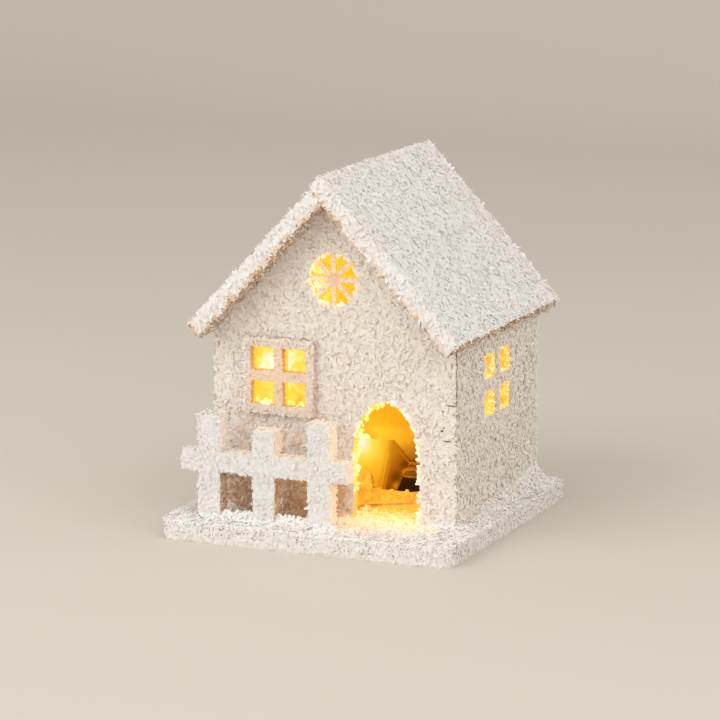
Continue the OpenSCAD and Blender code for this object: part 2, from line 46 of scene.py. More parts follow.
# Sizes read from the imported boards
base_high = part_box("base_board")[1]
front_low, front_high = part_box("front_wall")
back_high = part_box("back_wall")[1]
roof_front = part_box("right_roof")[0].y
sill_low, sill_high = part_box("sill_strip")
lamp_low, lamp_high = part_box("led_lamp")
frame_low, frame_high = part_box("window_frame")
fence_low, fence_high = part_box("fence")
screen_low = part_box("screen_film")[0]
case_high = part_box("battery_case")[1]
yard_z = base_high.z
half_w = front_high.x
wall_t = front_high.y - front_low.y
front_y = front_low.y
back_y = back_high.y
peak_z = front_high.z
room_x = half_w - wall_t
room_front = front_y + wall_t
room_back = back_y - wall_t
lamp_x = (lamp_low.x + lamp_high.x) / 2
lamp_y = (lamp_low.y + lamp_high.y) / 2
lamp_place = Vector((lamp_x, lamp_y, lamp_high.z - 2.5 * MM))
frame_x = (frame_low.x + frame_high.x) / 2
frame_z = (frame_low.z + frame_high.z) / 2

# Sizes of the roof, the openings and the cells
pitch = math.radians(47)
door_x, door_w, door_top = 23.3 * MM, 29.5 * MM, 58.5 * MM
round_z, round_r = 107 * MM, 11.2 * MM
spokes, spoke_half, hub_r = 8, 0.75 * MM, 3 * MM
side_window_y, side_window_z = 11 * MM, 61 * MM
side_window_reach_y, side_window_reach_z = 18 * MM, 16 * MM
panes_half_w, panes_half_h = 12.6 * MM, 12.3 * MM
cell_band_half = 11 * MM

# Light and shade in the room: places, and the distances or heights between which they fade
door_light_y = (-2 * MM, -9 * MM)
wall_light_z = (14 * MM, 23 * MM)
hot_wall, hot_reach = (lamp_place.x, room_back, lamp_place.z + 10 * MM), (4 * MM, 34 * MM)
shaded_wall, shaded_reach = (3 * MM, room_back, 13 * MM), (3 * MM, 16 * MM)
deep_glow_z = (25 * MM, 29 * MM)
# Painted shade in the joint along the foot of the sill strip: it leaves the floor here and climbs to the
# right
joint_x, joint_climb = 10 * MM, 0.13
joint_low, joint_high = 0.15 * MM, 1.1 * MM

# Folded screen: its fold at the floor and the fold's lean, then depths and heights of the light on it
fold_x, fold_lean = 9 * MM, math.radians(12)
screen_hot, screen_reach = (0.2 * MM, screen_low.y, 33.2 * MM), 25 * MM
wing_start, wing_full = 0.42 * MM, 0.7 * MM
wing_depth, wing_rise = (0.5 * MM, 6 * MM), (8 * MM, 22 * MM)
# spots on its wing: place, size, and the light that they add or take
wing_spots = (
    ((16.6 * MM, 1.2 * MM, 24.2 * MM), 4.5 * MM, -0.26),
    ((13.9 * MM, -2.6 * MM, 19.6 * MM), 4 * MM, -0.2),
    ((16.4 * MM, 1.2 * MM, 21.2 * MM), 2.6 * MM, 0.5),
    ((13.6 * MM, -1.5 * MM, 15.2 * MM), 3 * MM, 0.5),
)
cut_edge, cut_line, line_width = (27.2 * MM, 27.9 * MM), 25.7 * MM, (0.1 * MM, 0.4 * MM)
fold_fade, crease_beside, crease_rise = -4.5 * MM, 1.5 * MM, (20 * MM, 25 * MM)


# Shader helpers

def node_group(name, inputs, outputs):
    tree = bpy.data.node_groups.new(name, "ShaderNodeTree")
    for kind, label, value in inputs:
        socket = tree.interface.new_socket(label, in_out="INPUT", socket_type=kind)
        if value is not None:
            socket.default_value = value
    for kind, label in outputs:
        tree.interface.new_socket(label, in_out="OUTPUT", socket_type=kind)
    start = tree.nodes.new("NodeGroupInput")
    end = tree.nodes.new("NodeGroupOutput")
    return tree, start, end


def put(tree, kind, **values):
    node = tree.nodes.new(kind)
    for key, value in values.items():
        setattr(node, key, value)
    return node


def feed(tree, source, target):
    if isinstance(source, (int, float, tuple, list)):
        target.default_value = source
    else:
        tree.links.new(source, target)


def use_group(tree, group, values):
    node = put(tree, "ShaderNodeGroup", node_tree=group)
    for label, value in values.items():
        feed(tree, value, node.inputs[label])
    return node.outputs


def maths(tree, operation, a, b=None, c=None, clamp=False):
    node = put(tree, "ShaderNodeMath", operation=operation, use_clamp=clamp)
    for value, socket in zip((a, b, c), node.inputs):
        if value is not None:
            feed(tree, value, socket)
    return node.outputs[0]


def mix_colour(tree, factor, a, b, blend="MIX"):
    node = put(tree, "ShaderNodeMix", data_type="RGBA", blend_type=blend)
    feed(tree, factor, node.inputs[0])
    feed(tree, a if not isinstance(a, tuple) else (*a, 1.0), node.inputs[6])
    feed(tree, b if not isinstance(b, tuple) else (*b, 1.0), node.inputs[7])
    return node.outputs[2]


def mix_values(tree, factor, a, b):
    return maths(tree, "ADD", a, maths(tree, "MULTIPLY", factor, maths(tree, "SUBTRACT", b, a)))


def map_range(tree, value, low, high, to_low=0.0, to_high=1.0, smooth=False):
    node = put(tree, "ShaderNodeMapRange")
    if smooth:
        node.interpolation_type = "SMOOTHSTEP"
    for source, socket in zip((value, low, high, to_low, to_high), node.inputs):
        feed(tree, source, socket)
    return node.outputs[0]


def noise(tree, coordinates, scale, detail=2.0, roughness=0.5, distortion=0.0):
    node = put(tree, "ShaderNodeTexNoise")
    feed(tree, coordinates, node.inputs["Vector"])
    node.inputs["Scale"].default_value = scale
    node.inputs["Detail"].default_value = detail
    node.inputs["Roughness"].default_value = roughness
    node.inputs["Distortion"].default_value = distortion
    return node.outputs[0]


def colour_ramp(tree, value, stops):
    """Colours from the first stop, at 0, to the last, at 1. A stop is (place, colour)."""
    node = put(tree, "ShaderNodeValToRGB")
    feed(tree, value, node.inputs[0])
    marks = node.color_ramp.elements
    marks[0].color = (*stops[0][1], 1)
    marks[1].color = (*stops[-1][1], 1)
    for where, colour in stops[1:-1]:
        marks.new(where).color = (*colour, 1)
    return node.outputs[0]


def split(tree, at):
    node = put(tree, "ShaderNodeSeparateXYZ")
    feed(tree, at, node.inputs[0])
    return node.outputs


def distance_from(tree, at, place):
    node = put(tree, "ShaderNodeVectorMath", operation="DISTANCE")
    feed(tree, at, node.inputs[0])
    feed(tree, place, node.inputs[1])
    return node.outputs["Value"]


def scaled(tree, colour, strength):
    node = put(tree, "ShaderNodeVectorMath", operation="SCALE")
    feed(tree, colour, node.inputs[0])
    feed(tree, strength, node.inputs["Scale"])
    return node.outputs[0]


def object_coordinates(tree):
    return put(tree, "ShaderNodeTexCoord").outputs["Object"]


def tree_and_shader(made):
    return made.node_tree, made.node_tree.nodes["Principled BSDF"]


def new_material(name):
    made = bpy.data.materials.new(name)
    made.use_nodes = True
    return (made, *tree_and_shader(made))


def shine(tree, shader, colour):
    """Lamp light that a surface gives off."""
    feed(tree, colour, shader.inputs["Emission Color"])
    shader.inputs["Emission Strength"].default_value = 1.0


# Tint of a painted wood flake: each flake has its own shade, with a little grain across it
def make_flake_tint():
    tree, start, end = node_group(
        "Flake tint",
        [("NodeSocketVector", "Coordinates", None), ("NodeSocketFloat", "Shade", 0.5),
         ("NodeSocketColor", "Light tint", (1, 1, 1, 1)),
         ("NodeSocketColor", "Deep tint", (0.7, 0.6, 0.5, 1))],
        [("NodeSocketColor", "Colour"), ("NodeSocketFloat", "Roughness")],
    )
    at = start.outputs["Coordinates"]
    broad = maths(tree, "MULTIPLY", noise(tree, at, 55.0, 2.0), 0.35)
    fine = noise(tree, at, 1600.0, 2.0)
    worn = maths(tree, "ADD", broad, maths(tree, "MULTIPLY", fine, 0.3))
    own = maths(tree, "MULTIPLY", start.outputs["Shade"], 0.75)
    level = maths(tree, "ADD", own, maths(tree, "SUBTRACT", worn, 0.3), clamp=True)
    tint = mix_colour(tree, level, start.outputs["Deep tint"], start.outputs["Light tint"])
    feed(tree, tint, end.inputs["Colour"])
    feed(tree, map_range(tree, fine, 0.3, 0.7, 0.72, 0.92), end.inputs["Roughness"])
    return tree


# Where a place lies inside the house, and the lamp light painted there as a glow
def make_room_glow():
    tree, start, end = node_group(
        "Room glow",
        [("NodeSocketVector", "Coordinates", None)],
        [("NodeSocketFloat", "Inside"), ("NodeSocketColor", "Glow")],
    )
    at = start.outputs["Coordinates"]
    x, y, z = split(tree, at)
    side = maths(tree, "ABSOLUTE", x)
    slope = maths(tree, "ADD", z, maths(tree, "MULTIPLY", side, math.tan(pitch)))
    # the edges of the openings count as inside, the outer faces don't
    skin, roof_skin = 0.4 * MM, 0.5 * MM
    inside = maths(tree, "LESS_THAN", side, half_w - skin)
    for test in (
        maths(tree, "GREATER_THAN", y, front_y + skin),
        maths(tree, "LESS_THAN", y, back_y - skin),
        maths(tree, "GREATER_THAN", z, yard_z - HAIR),
        maths(tree, "LESS_THAN", slope, peak_z + roof_skin),
    ):
        inside = maths(tree, "MULTIPLY", inside, test)
    # light towards the doorway and higher on the walls
    least, by_door, high_up, by_lamp, by_side_window = 0.02, 0.5, 0.32, 0.25, 0.66
    patchy = map_range(tree, noise(tree, at, 60.0, 2.0), 0.3, 0.7, 0.85, 1.15)
    near_door = map_range(tree, y, *door_light_y, smooth=True)
    high = map_range(tree, z, *wall_light_z, smooth=True)
    strength = maths(tree, "MULTIPLY_ADD", near_door, by_door, least)
    strength = maths(tree, "MULTIPLY", maths(tree, "MULTIPLY_ADD", high, high_up, strength), patchy)
    # the lamp's own light on the wall behind it
    hot = map_range(tree, distance_from(tree, at, hot_wall), *hot_reach, 1.0, 0.0, smooth=True)
    strength = maths(tree, "MULTIPLY_ADD", hot, by_lamp, strength)
    # shade of the folded screen low on the back wall
    shade = map_range(tree, distance_from(tree, at, shaded_wall), *shaded_reach, 0.3, 1.0, smooth=True)
    strength = maths(tree, "MULTIPLY", strength, shade)
    # painted glow dimmer and redder high on the back wall
    on_back = maths(tree, "GREATER_THAN", y, back_y - 2 * wall_t)
    upper = maths(tree, "MULTIPLY", map_range(tree, z, *deep_glow_z, smooth=True), on_back)
    strength = maths(tree, "MULTIPLY", strength, maths(tree, "MULTIPLY_ADD", upper, -0.1, 1.0))
    # painted shade in the joint between the sill strip and the floor
    joint_line = maths(tree, "MULTIPLY_ADD", x, joint_climb, yard_z - joint_climb * joint_x)
    above = maths(tree, "SUBTRACT", z, joint_line)
    off_floor = maths(tree, "GREATER_THAN", above, joint_low)
    joint_shade = maths(tree, "MULTIPLY", off_floor, maths(tree, "LESS_THAN", above, joint_high))
    uneven = map_range(tree, noise(tree, at, 200.0, 1.0), 0.42, 0.54, 0.5, 1.0)
    joint_shade = maths(tree, "MULTIPLY", joint_shade, uneven)
    strength = maths(tree, "MULTIPLY", strength, maths(tree, "MULTIPLY_ADD", joint_shade, -0.95, 1.0))
    # the side windows' edges are about as bright as the film behind them
    at_side = maths(tree, "GREATER_THAN", side, room_x + HAIR)
    strength = mix_values(tree, at_side, strength, by_side_window)
    near_lamp = mix_colour(tree, hot, (1.0, 0.48, 0.012), (1.0, 0.54, 0.02))
    tinted = mix_colour(tree, upper, near_lamp, (1.0, 0.36, 0.004))
    # redder and yellower patches of painted glow on the side windows' edges
    glow_spots = map_range(tree, noise(tree, at, 260.0, 2.0), 0.4, 0.6)
    side_tint = mix_colour(tree, glow_spots, (1.0, 0.3, 0.01), (1.0, 0.68, 0.04))
    glow = scaled(tree, mix_colour(tree, at_side, tinted, side_tint), strength)
    feed(tree, inside, end.inputs["Inside"])
    feed(tree, mix_colour(tree, inside, BLACK, glow), end.inputs["Glow"])
    return tree


# Lamp light in a yellow film: palest at the hot place, amber away from it
def make_film_glow():
    tree, start, end = node_group(
        "Film glow",
        [("NodeSocketVector", "Coordinates", None), ("NodeSocketVector", "Hot place", None),
         ("NodeSocketFloat", "Reach", 0.02), ("NodeSocketFloat", "Wrinkles", 0.3)],
        [("NodeSocketColor", "Glow")],
    )
    at = start.outputs["Coordinates"]
    away = distance_from(tree, at, start.outputs["Hot place"])
    part = maths(tree, "DIVIDE", away, start.outputs["Reach"])
    wrinkle = maths(tree, "SUBTRACT", noise(tree, at, 160.0, 2.0, 0.5, 1.5), 0.5)
    wrinkle = maths(tree, "MULTIPLY", wrinkle, start.outputs["Wrinkles"])
    glow = colour_ramp(tree, maths(tree, "ADD", part, wrinkle, clamp=True), [
        (0.0, (1.0, 0.99, 0.82)), (0.2, (1.0, 0.76, 0.1)), (0.42, (0.94, 0.5, 0.02)),
        (0.67, (0.82, 0.33, 0.008)), (1.0, (0.7, 0.25, 0.004)),
    ])
    feed(tree, glow, end.inputs["Glow"])
    return tree


flake_tint = make_flake_tint()
room_glow = make_room_glow()
film_glow = make_film_glow()


def use_flake_tint(tree, shader, at, shade, light, deep):
    """Feeds the tint's roughness to the shader and gives its colour."""
    tint = use_group(tree, flake_tint, {
        "Coordinates": at, "Shade": shade, "Light tint": (*light, 1), "Deep tint": (*deep, 1),
    })
    feed(tree, tint["Roughness"], shader.inputs["Roughness"])
    return tint["Colour"]


def make_flake_material(name, light, deep):
    made, tree, shader = new_material(name)
    shade = put(tree, "ShaderNodeAttribute", attribute_name="shade").outputs["Fac"]
    colour = use_flake_tint(tree, shader, object_coordinates(tree), shade, light, deep)
    feed(tree, colour, shader.inputs["Base Color"])
    # painted lamp light that comes through the shavings at the openings, and that falls on them near the
    # doorway
    painted_glow = put(tree, "ShaderNodeAttribute", attribute_name="painted_glow").outputs["Fac"]
    lit = colour_ramp(tree, painted_glow, [(0.0, BLACK), (0.5, (0.5, 0.25, 0.04)), (1.0, (1.0, 0.78, 0.28))])
    # painted light on the flakes' back faces: a shaving is so thin that its shaded side is pale too
    behind = put(tree, "ShaderNodeNewGeometry").outputs["Backfacing"]
    backface_glow = mix_colour(tree, maths(tree, "MULTIPLY", behind, 0.12), BLACK, colour)
    shine(tree, shader, mix_colour(tree, 1.0, lit, backface_glow, "ADD"))
    return made


# Board under the flakes: glue coat outside, smooth honey wood inside, with the lamp's light painted on it
# as a glow
def make_board_material(name, light, deep):
    made, tree, shader = new_material(name)
    at = object_coordinates(tree)
    glue = use_flake_tint(tree, shader, at, noise(tree, at, 900.0, 3.0), light, deep)
    room = use_group(tree, room_glow, {"Coordinates": at})
    stretch = put(tree, "ShaderNodeMapping")
    feed(tree, at, stretch.inputs["Vector"])
    stretch.inputs["Scale"].default_value = (6.0, 6.0, 0.6)
    grain = noise(tree, stretch.outputs[0], 90.0, 4.0, 0.6)
    wood = mix_colour(tree, grain, (0.5, 0.34, 0.16), (0.62, 0.46, 0.25))
    feed(tree, mix_colour(tree, room["Inside"], glue, wood), shader.inputs["Base Color"])
    # painted lamp light on the inside faces
    shine(tree, shader, room["Glow"])
    bump = put(tree, "ShaderNodeBump")
    bump.inputs["Strength"].default_value = 0.6
    bump.inputs["Distance"].default_value = 0.4 * MM
    outside = maths(tree, "SUBTRACT", 1.0, room["Inside"])
    feed(tree, maths(tree, "MULTIPLY", noise(tree, at, 700.0, 4.0, 0.6), outside), bump.inputs["Height"])
    feed(tree, bump.outputs[0], shader.inputs["Normal"])
    return made


def make_plain_material(name, light, deep, roughness, metallic=0.0, scale=400.0):
    made, tree, shader = new_material(name)
    speck = noise(tree, object_coordinates(tree), scale, 3.0)
    feed(tree, mix_colour(tree, speck, deep, light), shader.inputs["Base Color"])
    dullness = map_range(tree, speck, 0.3, 0.7, roughness - 0.06, roughness + 0.06)
    feed(tree, dullness, shader.inputs["Roughness"])
    shader.inputs["Metallic"].default_value = metallic
    return made


# Black box in the room, with a painted reflection of the lamp's light on its top
def make_case_material():
    made = make_plain_material("black box plastic", (0.02, 0.019, 0.018), (0.012, 0.011, 0.011), 0.34)
    tree, shader = tree_and_shader(made)
    at = object_coordinates(tree)
    height = split(tree, at)[2]
    top_depth = 0.5 * MM
    top = map_range(tree, height, case_high.z - top_depth, case_high.z - HAIR)
    reflection_patches = map_range(tree, noise(tree, at, 160.0, 2.0), 0.46, 0.6)
    lit = mix_colour(tree, reflection_patches, (0.02, 0.0, 0.0), (0.42, 0.085, 0.003))
    shine(tree, shader, mix_colour(tree, top, BLACK, lit))
    return made


white_flakes = make_flake_material("white wood flakes", (0.965, 0.96, 0.95), (0.86, 0.82, 0.77))
wall_flakes = make_flake_material("cream wood flakes", (0.96, 0.93, 0.895), (0.85, 0.76, 0.67))
fence_flakes = make_flake_material("fence flakes", (0.925, 0.92, 0.915), (0.81, 0.78, 0.74))
# half and thin coats, also used to paint shade behind the fence, under the roof and below the rail
blush_flakes = make_flake_material("half coated flakes, also painted shade", (0.93, 0.81, 0.71), (0.8, 0.62, 0.49))
tan_flakes = make_flake_material("thinly coated flakes, also painted shade", (0.92, 0.68, 0.48), (0.5, 0.31, 0.18))
frame_flakes = make_flake_material("fine frame flakes", (0.92, 0.83, 0.75), (0.84, 0.7, 0.59))
# bar flakes tinted warmer to paint the lamp light that comes through the panes
lamplit_bar_flakes = make_flake_material("fine lamplit bar flakes", (0.9, 0.76, 0.6), (0.8, 0.61, 0.44))
lamplit_flakes = make_flake_material("lamplit flakes", (0.55, 0.3, 0.06), (0.4, 0.2, 0.03))
# white flakes coloured amber to paint the lamp light on them
lamplit_amber_flakes = make_flake_material("lamplit amber sill flakes", (0.98, 0.72, 0.08), (0.6, 0.26, 0.012))
# dark flakes for cracks in the coat and for painted shade in the pits between flakes
crack_and_shade_flakes = make_flake_material("cracks and painted shade pits", (0.36, 0.25, 0.17), (0.16, 0.1, 0.06))
white_board = make_board_material("white glue coat", (0.93, 0.88, 0.82), (0.82, 0.73, 0.64))
wall_board = make_board_material("cream glue coat", (0.88, 0.78, 0.68), (0.76, 0.62, 0.5))
case_plastic = make_case_material()
bare_wood = make_board_material("bare strip wood", (0.74, 0.57, 0.36), (0.55, 0.38, 0.2))
plated_steel = make_plain_material(
    "plated steel", (0.75, 0.76, 0.78), (0.55, 0.56, 0.58), roughness=0.32, metallic=1.0, scale=900.0)
black_plastic = make_plain_material(
    "black switch plastic", (0.035, 0.035, 0.038), (0.015, 0.015, 0.017), roughness=0.5)
circuit_green = make_plain_material(
    "green circuit lacquer", (0.05, 0.2, 0.1), (0.03, 0.13, 0.06), roughness=0.35)


def make_film_material(name, hot_place, reach, wrinkles=0.5):
    made, tree, shader = new_material(name)
    at = object_coordinates(tree)
    glow = use_group(tree, film_glow, {
        "Coordinates": at, "Hot place": hot_place, "Reach": reach, "Wrinkles": wrinkles,
    })
    shine(tree, shader, glow["Glow"])
    sheen = noise(tree, at, 300.0, 2.0)
    feed(tree, mix_colour(tree, sheen, (0.1, 0.05, 0.005), (0.14, 0.08, 0.01)), shader.inputs["Base Color"])
    feed(tree, map_range(tree, sheen, 0.3, 0.7, 0.3, 0.45), shader.inputs["Roughness"])
    return made


# Folded screen: bright where the lamp stands behind it, dark on the wing that turns away
def make_screen_material():
    made = make_film_material("folded screen film", screen_hot, screen_reach, wrinkles=0.06)
    tree, shader = tree_and_shader(made)
    at = object_coordinates(tree)
    x, y, z = split(tree, at)
    rise = maths(tree, "SUBTRACT", z, yard_z)
    depth = maths(tree, "SUBTRACT", y, screen_low.y)
    fold = maths(tree, "MULTIPLY_ADD", rise, math.tan(fold_lean), fold_x)
    from_fold = maths(tree, "SUBTRACT", x, fold)
    wing = map_range(tree, y, screen_low.y + wing_start, screen_low.y + wing_full)
    turned = maths(tree, "MULTIPLY", map_range(tree, depth, *wing_depth, 0.5, 0.34),
                   map_range(tree, rise, *wing_rise, 0.45, 1.0))
    # painted shade in two hollows of the wing, with a painted lit patch below each
    for place, size, gain in wing_spots:
        near = map_range(tree, distance_from(tree, at, place), 0.0, size, 1.0, 0.0, smooth=True)
        turned = maths(tree, "MULTIPLY_ADD", near, gain, turned)
    turned = maths(tree, "MAXIMUM", turned, 0.05)
    # light that runs along the wing's cut edge, and along a line beside it
    cut = maths(tree, "ADD", depth, rise)
    turned = maths(tree, "MAXIMUM", turned, map_range(tree, cut, *cut_edge, 0.0, 0.62))
    from_line = maths(tree, "ABSOLUTE", maths(tree, "SUBTRACT", cut, cut_line))
    turned = maths(tree, "MAXIMUM", turned, map_range(tree, from_line, *line_width, 0.56, 0.0))
    # painted shade: the flat part of the screen dims towards the fold
    flat = map_range(tree, from_fold, fold_fade, 0.0, 0.92, 0.5, smooth=True)
    # painted highlight: a thin bright crease beside the lower part of the fold
    beside = maths(tree, "ABSOLUTE", maths(tree, "ADD", from_fold, crease_beside))
    crease_highlight = map_range(tree, beside, *line_width, 0.22, 0.0)
    flat = maths(tree, "MULTIPLY_ADD", crease_highlight, map_range(tree, rise, *crease_rise, 1.0, 0.0), flat)
    level = mix_values(tree, wing, flat, turned)
    glow = scaled(tree, shader.inputs["Emission Color"].links[0].from_socket, level)
    # the dimmer the film, the redder it is
    redder = mix_colour(tree, map_range(tree, level, 0.15, 0.7), (1.0, 0.55, 0.2), WHITE)
    shine(tree, shader, mix_colour(tree, 1.0, glow, redder, "MULTIPLY"))
    return made


def make_cell_material():
    made, tree, shader = new_material("battery jacket")
    at = object_coordinates(tree)
    along = split(tree, at)[0]
    band = maths(tree, "LESS_THAN", maths(tree, "ABSOLUTE", along), cell_band_half)
    speck = noise(tree, at, 500.0, 2.0)
    jacket = mix_colour(tree, band, (0.05, 0.12, 0.085), (0.16, 0.33, 0.24))
    dusty = mix_colour(tree, maths(tree, "MULTIPLY", speck, 0.15), jacket, (0.5, 0.5, 0.5))
    feed(tree, dusty, shader.inputs["Base Color"])
    feed(tree, map_range(tree, speck, 0.3, 0.7, 0.24, 0.36), shader.inputs["Roughness"])
    return made


def make_lamp_material():
    made, tree, shader = new_material("lit lamp lens")
    at = object_coordinates(tree)
    height = map_range(tree, split(tree, at)[2], lamp_low.z, lamp_high.z)
    cloud = map_range(tree, noise(tree, at, 700.0, 1.0), 0.3, 0.7, 0.85, 1.0)
    level = maths(tree, "MULTIPLY", height, cloud)
    feed(tree, mix_colour(tree, level, (0.9, 0.6, 0.2), (1.0, 0.9, 0.6)), shader.inputs["Base Color"])
    shine(tree, shader, mix_colour(tree, level, (1.0, 0.8, 0.2), (1.0, 0.92, 0.5)))
    shader.inputs["Roughness"].default_value = 0.2
    return made


def dress(made, *names):
    for name in names:
        mesh = nodes[name].data
        mesh.materials.clear()
        mesh.materials.append(made)


dress(white_board, "base_board", "left_roof", "right_roof", "fence", "snow_bank")
dress(wall_board, "front_wall", "back_wall", "left_wall", "right_wall", "window_frame")
dress(bare_wood, "sill_strip")
dress(case_plastic, "battery_case", "battery_cover", "lamp_cap")
dress(plated_steel, "case_screws", "positive_contact", "negative_contact", "bridge_contact", "lamp_leads")
dress(black_plastic, "switch_body", "switch_knob")
dress(circuit_green, "circuit_board")
dress(make_cell_material(), "front_cell", "rear_cell")
dress(make_lamp_material(), "led_lamp")
for name, hot_place, reach in (
    ("front", (-27 * MM, room_front, 69 * MM), 50 * MM),
    ("round", (-11 * MM, room_front, 104 * MM), 38 * MM),
    ("left", (-room_x, 12 * MM, 58 * MM), 52 * MM),
    ("right", (room_x, 12 * MM, 62 * MM), 52 * MM),
):
    dress(make_film_material(name + " window film", hot_place, reach), name + "_film")
dress(make_screen_material(), "screen_film")


# Mesh helpers

def add_object(name, data):
    made = bpy.data.objects.new(name, data)
    bpy.context.scene.collection.objects.link(made)
    return made


def add_coat_piece(name, mesh):
    made = add_object(name, mesh)
    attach(made, "house")
    return made


def smooth_mesh(name, places, faces):
    mesh = bpy.data.meshes.new(name)
    mesh.from_pydata(places, [], faces)
    for face in mesh.polygons:
        face.use_smooth = True
    mesh.update()
    return mesh


def corners_of(mesh):
    mesh.calc_loop_triangles()
    index = np.empty(len(mesh.loop_triangles) * 3, np.int32)
    mesh.loop_triangles.foreach_get("vertices", index)
    places = np.empty(len(mesh.vertices) * 3)
    mesh.vertices.foreach_get("co", places)
    return places.reshape(-1, 3)[index.reshape(-1, 3)]


def all_faces(name):
    return corners_of(nodes[name].data)


def unit(vectors):
    return vectors / np.maximum(np.linalg.norm(vectors, axis=1), 1e-12)[:, None]


def outward(corners):
    """A normal for each triangle, twice as long as the triangle's area."""
    return np.cross(corners[:, 1] - corners[:, 0], corners[:, 2] - corners[:, 0])


def faces_towards(corners, test):
    """Triangles that pass a test of their normal and their middle."""
    return corners[test(unit(outward(corners)), corners.mean(1))]


# Flakes: the places along a flake where it has corners, as shares of its length, and its width there
STATIONS = np.array([-0.5, -0.17, 0.18, 0.5])
TAPER = np.array([0.55, 1.0, 0.92, 0.45])
# a steep flake is raised by no more than this on top of its lift
MOST_RAISED = 0.9 * MM
# a flake rolls about its length less than it tilts
ROLL_SHARE = 0.7
# empty share of a flake's cell in the map, at each end and at each side
MAP_END, MAP_SIDE = 0.15, 0.2
amount = 1.0


def spread(corners, per_mm2, rng):
    """Random places on triangles, evenly over their area, with the outward normals there."""
    cross = outward(corners)
    area = np.linalg.norm(cross, axis=1) / 2
    face = np.repeat(np.arange(len(corners)), rng.poisson(area * per_mm2 * 1e6))
    a, b = np.sqrt(rng.random(len(face))), rng.random(len(face))
    c = corners[face]
    places = (1 - a)[:, None] * c[:, 0] + (a * (1 - b))[:, None] * c[:, 1] + (a * b)[:, None] * c[:, 2]
    return places, unit(cross)[face]


def flake_corners(places, normals, rng, length, width, tilt, curl, lift):
    """Corners of curled strips that lie on the places, 4 stations by 2 sides each."""
    n = len(places)
    helper = np.where(np.abs(normals[:, 2:3]) < 0.9, [[0.0, 0.0, 1.0]], [[1.0, 0.0, 0.0]])
    a = unit(np.cross(helper, normals))
    b = np.cross(normals, a)
    turn = rng.uniform(0, 2 * np.pi, n)[:, None]
    along = a * np.cos(turn) + b * np.sin(turn)
    across = np.cross(normals, along)
    long = rng.triangular(length[0], (length[0] * 2 + length[1]) / 3, length[1], n)[:, None] * MM
    wide = rng.uniform(width[0], width[1], n)[:, None] * MM
    rise = np.radians(rng.normal(0, tilt, n))[:, None]
    roll = np.radians(rng.normal(0, tilt * ROLL_SHARE, n))[:, None]
    way = along * np.cos(rise) + normals * np.sin(rise)
    up = normals * np.cos(rise) - along * np.sin(rise)
    side = across * np.cos(roll) + up * np.sin(roll)
    up = up * np.cos(roll) - across * np.sin(roll)
    bow = rng.uniform(-curl, curl, n)[:, None] * long
    corners = np.empty((n, 4, 2, 3))
    for i, (s, t) in enumerate(zip(STATIONS, TAPER)):
        middle = way * long * s + up * bow * (4 * s * s - 0.4)
        corners[:, i, 0] = middle - side * wide * t / 2
        corners[:, i, 1] = middle + side * wide * t / 2
    lowest = np.einsum("nijk,nk->nij", corners, normals).reshape(n, 8).min(1)
    raised = rng.uniform(lift[0], lift[1], n) * MM - np.maximum(lowest, -MOST_RAISED)
    corners += (places + normals * raised[:, None])[:, None, None, :]
    return corners, np.repeat(unit(normals * 0.55 + up * 0.45), 8, axis=0)


def flake_mesh(name, corners, facing, shade, painted_glow, look, shadows):
    """One piece from many flakes, with a map that gives each flake its own cell."""
    n = len(corners)
    corners[..., 2] = np.maximum(corners[..., 2], HAIR)
    mesh = bpy.data.meshes.new(name)
    mesh.vertices.add(n * 8)
    mesh.vertices.foreach_set("co", corners.reshape(-1))
    quad = np.array([[0, 2, 3, 1], [2, 4, 5, 3], [4, 6, 7, 5]])
    index = (np.arange(n)[:, None, None] * 8 + quad[None]).reshape(-1).astype(np.int32)
    mesh.loops.add(n * 12)
    mesh.loops.foreach_set("vertex_index", index)
    mesh.polygons.add(n * 3)
    mesh.polygons.foreach_set("loop_start", np.arange(0, n * 12, 4, dtype=np.int32))
    mesh.polygons.foreach_set("use_smooth", np.ones(n * 3, bool))
    mesh.update(calc_edges=True)
    for label, values in (("shade", shade), ("painted_glow", painted_glow)):
        layer = mesh.attributes.new(label, "FLOAT", "POINT")
        layer.data.foreach_set("value", np.repeat(values, 8).astype(np.float32))
    cells = math.ceil(math.sqrt(n))
    corner = index % 8
    flake = index // 8
    u = (flake % cells + MAP_END + (1 - 2 * MAP_END) * (corner // 2) / 3) / cells
    v = (flake // cells + MAP_SIDE + (1 - 2 * MAP_SIDE) * (corner % 2)) / cells
    mesh.uv_layers.new(name="OFBake").data.foreach_set("uv", np.stack([u, v], 1).reshape(-1))
    mesh.normals_split_custom_set_from_vertices(facing)
    mesh.materials.append(look)
    add_coat_piece(name, mesh).visible_shadow = shadows


def coat(name, layers, look, seed, keep=None, painted_glow=None, turn=None):
    """Covers faces with flakes. layers is [(triangles, flakes per mm2, kind of flake)].

    The bed is so thin that it throws no shadows. The flakes on top do.
    keep picks the places that get a flake, and turn lays the flakes another way.
    """
    rng = np.random.default_rng(seed)
    for part, shadows in (("bed", False), ("flakes", True)):
        found = []
        for faces, per_mm2, (*form, on_top) in layers:
            if on_top != shadows:
                continue
            places, normals = spread(faces, per_mm2 * amount, rng)
            if keep is not None:
                chosen = keep(places, normals, rng)
                places, normals = places[chosen], normals[chosen]
            # painted lamp light that each flake gives off
            flake_glow = np.zeros(len(places)) if painted_glow is None else painted_glow(places, normals)
            if turn is not None:
                places, normals = turn(places, normals, rng)
            corners, facing = flake_corners(places, normals, rng, *form)
            shade = rng.uniform(0.1, 1.0, len(places))
            found.append((corners, facing, shade, flake_glow * rng.uniform(0.6, 1.0, len(places))))
        if found and sum(len(f[0]) for f in found):
            corners, facing, shade, flake_glow = (np.concatenate(f) for f in zip(*found))
            flake_mesh(name + "_" + part, corners, facing, shade, flake_glow, look, shadows)


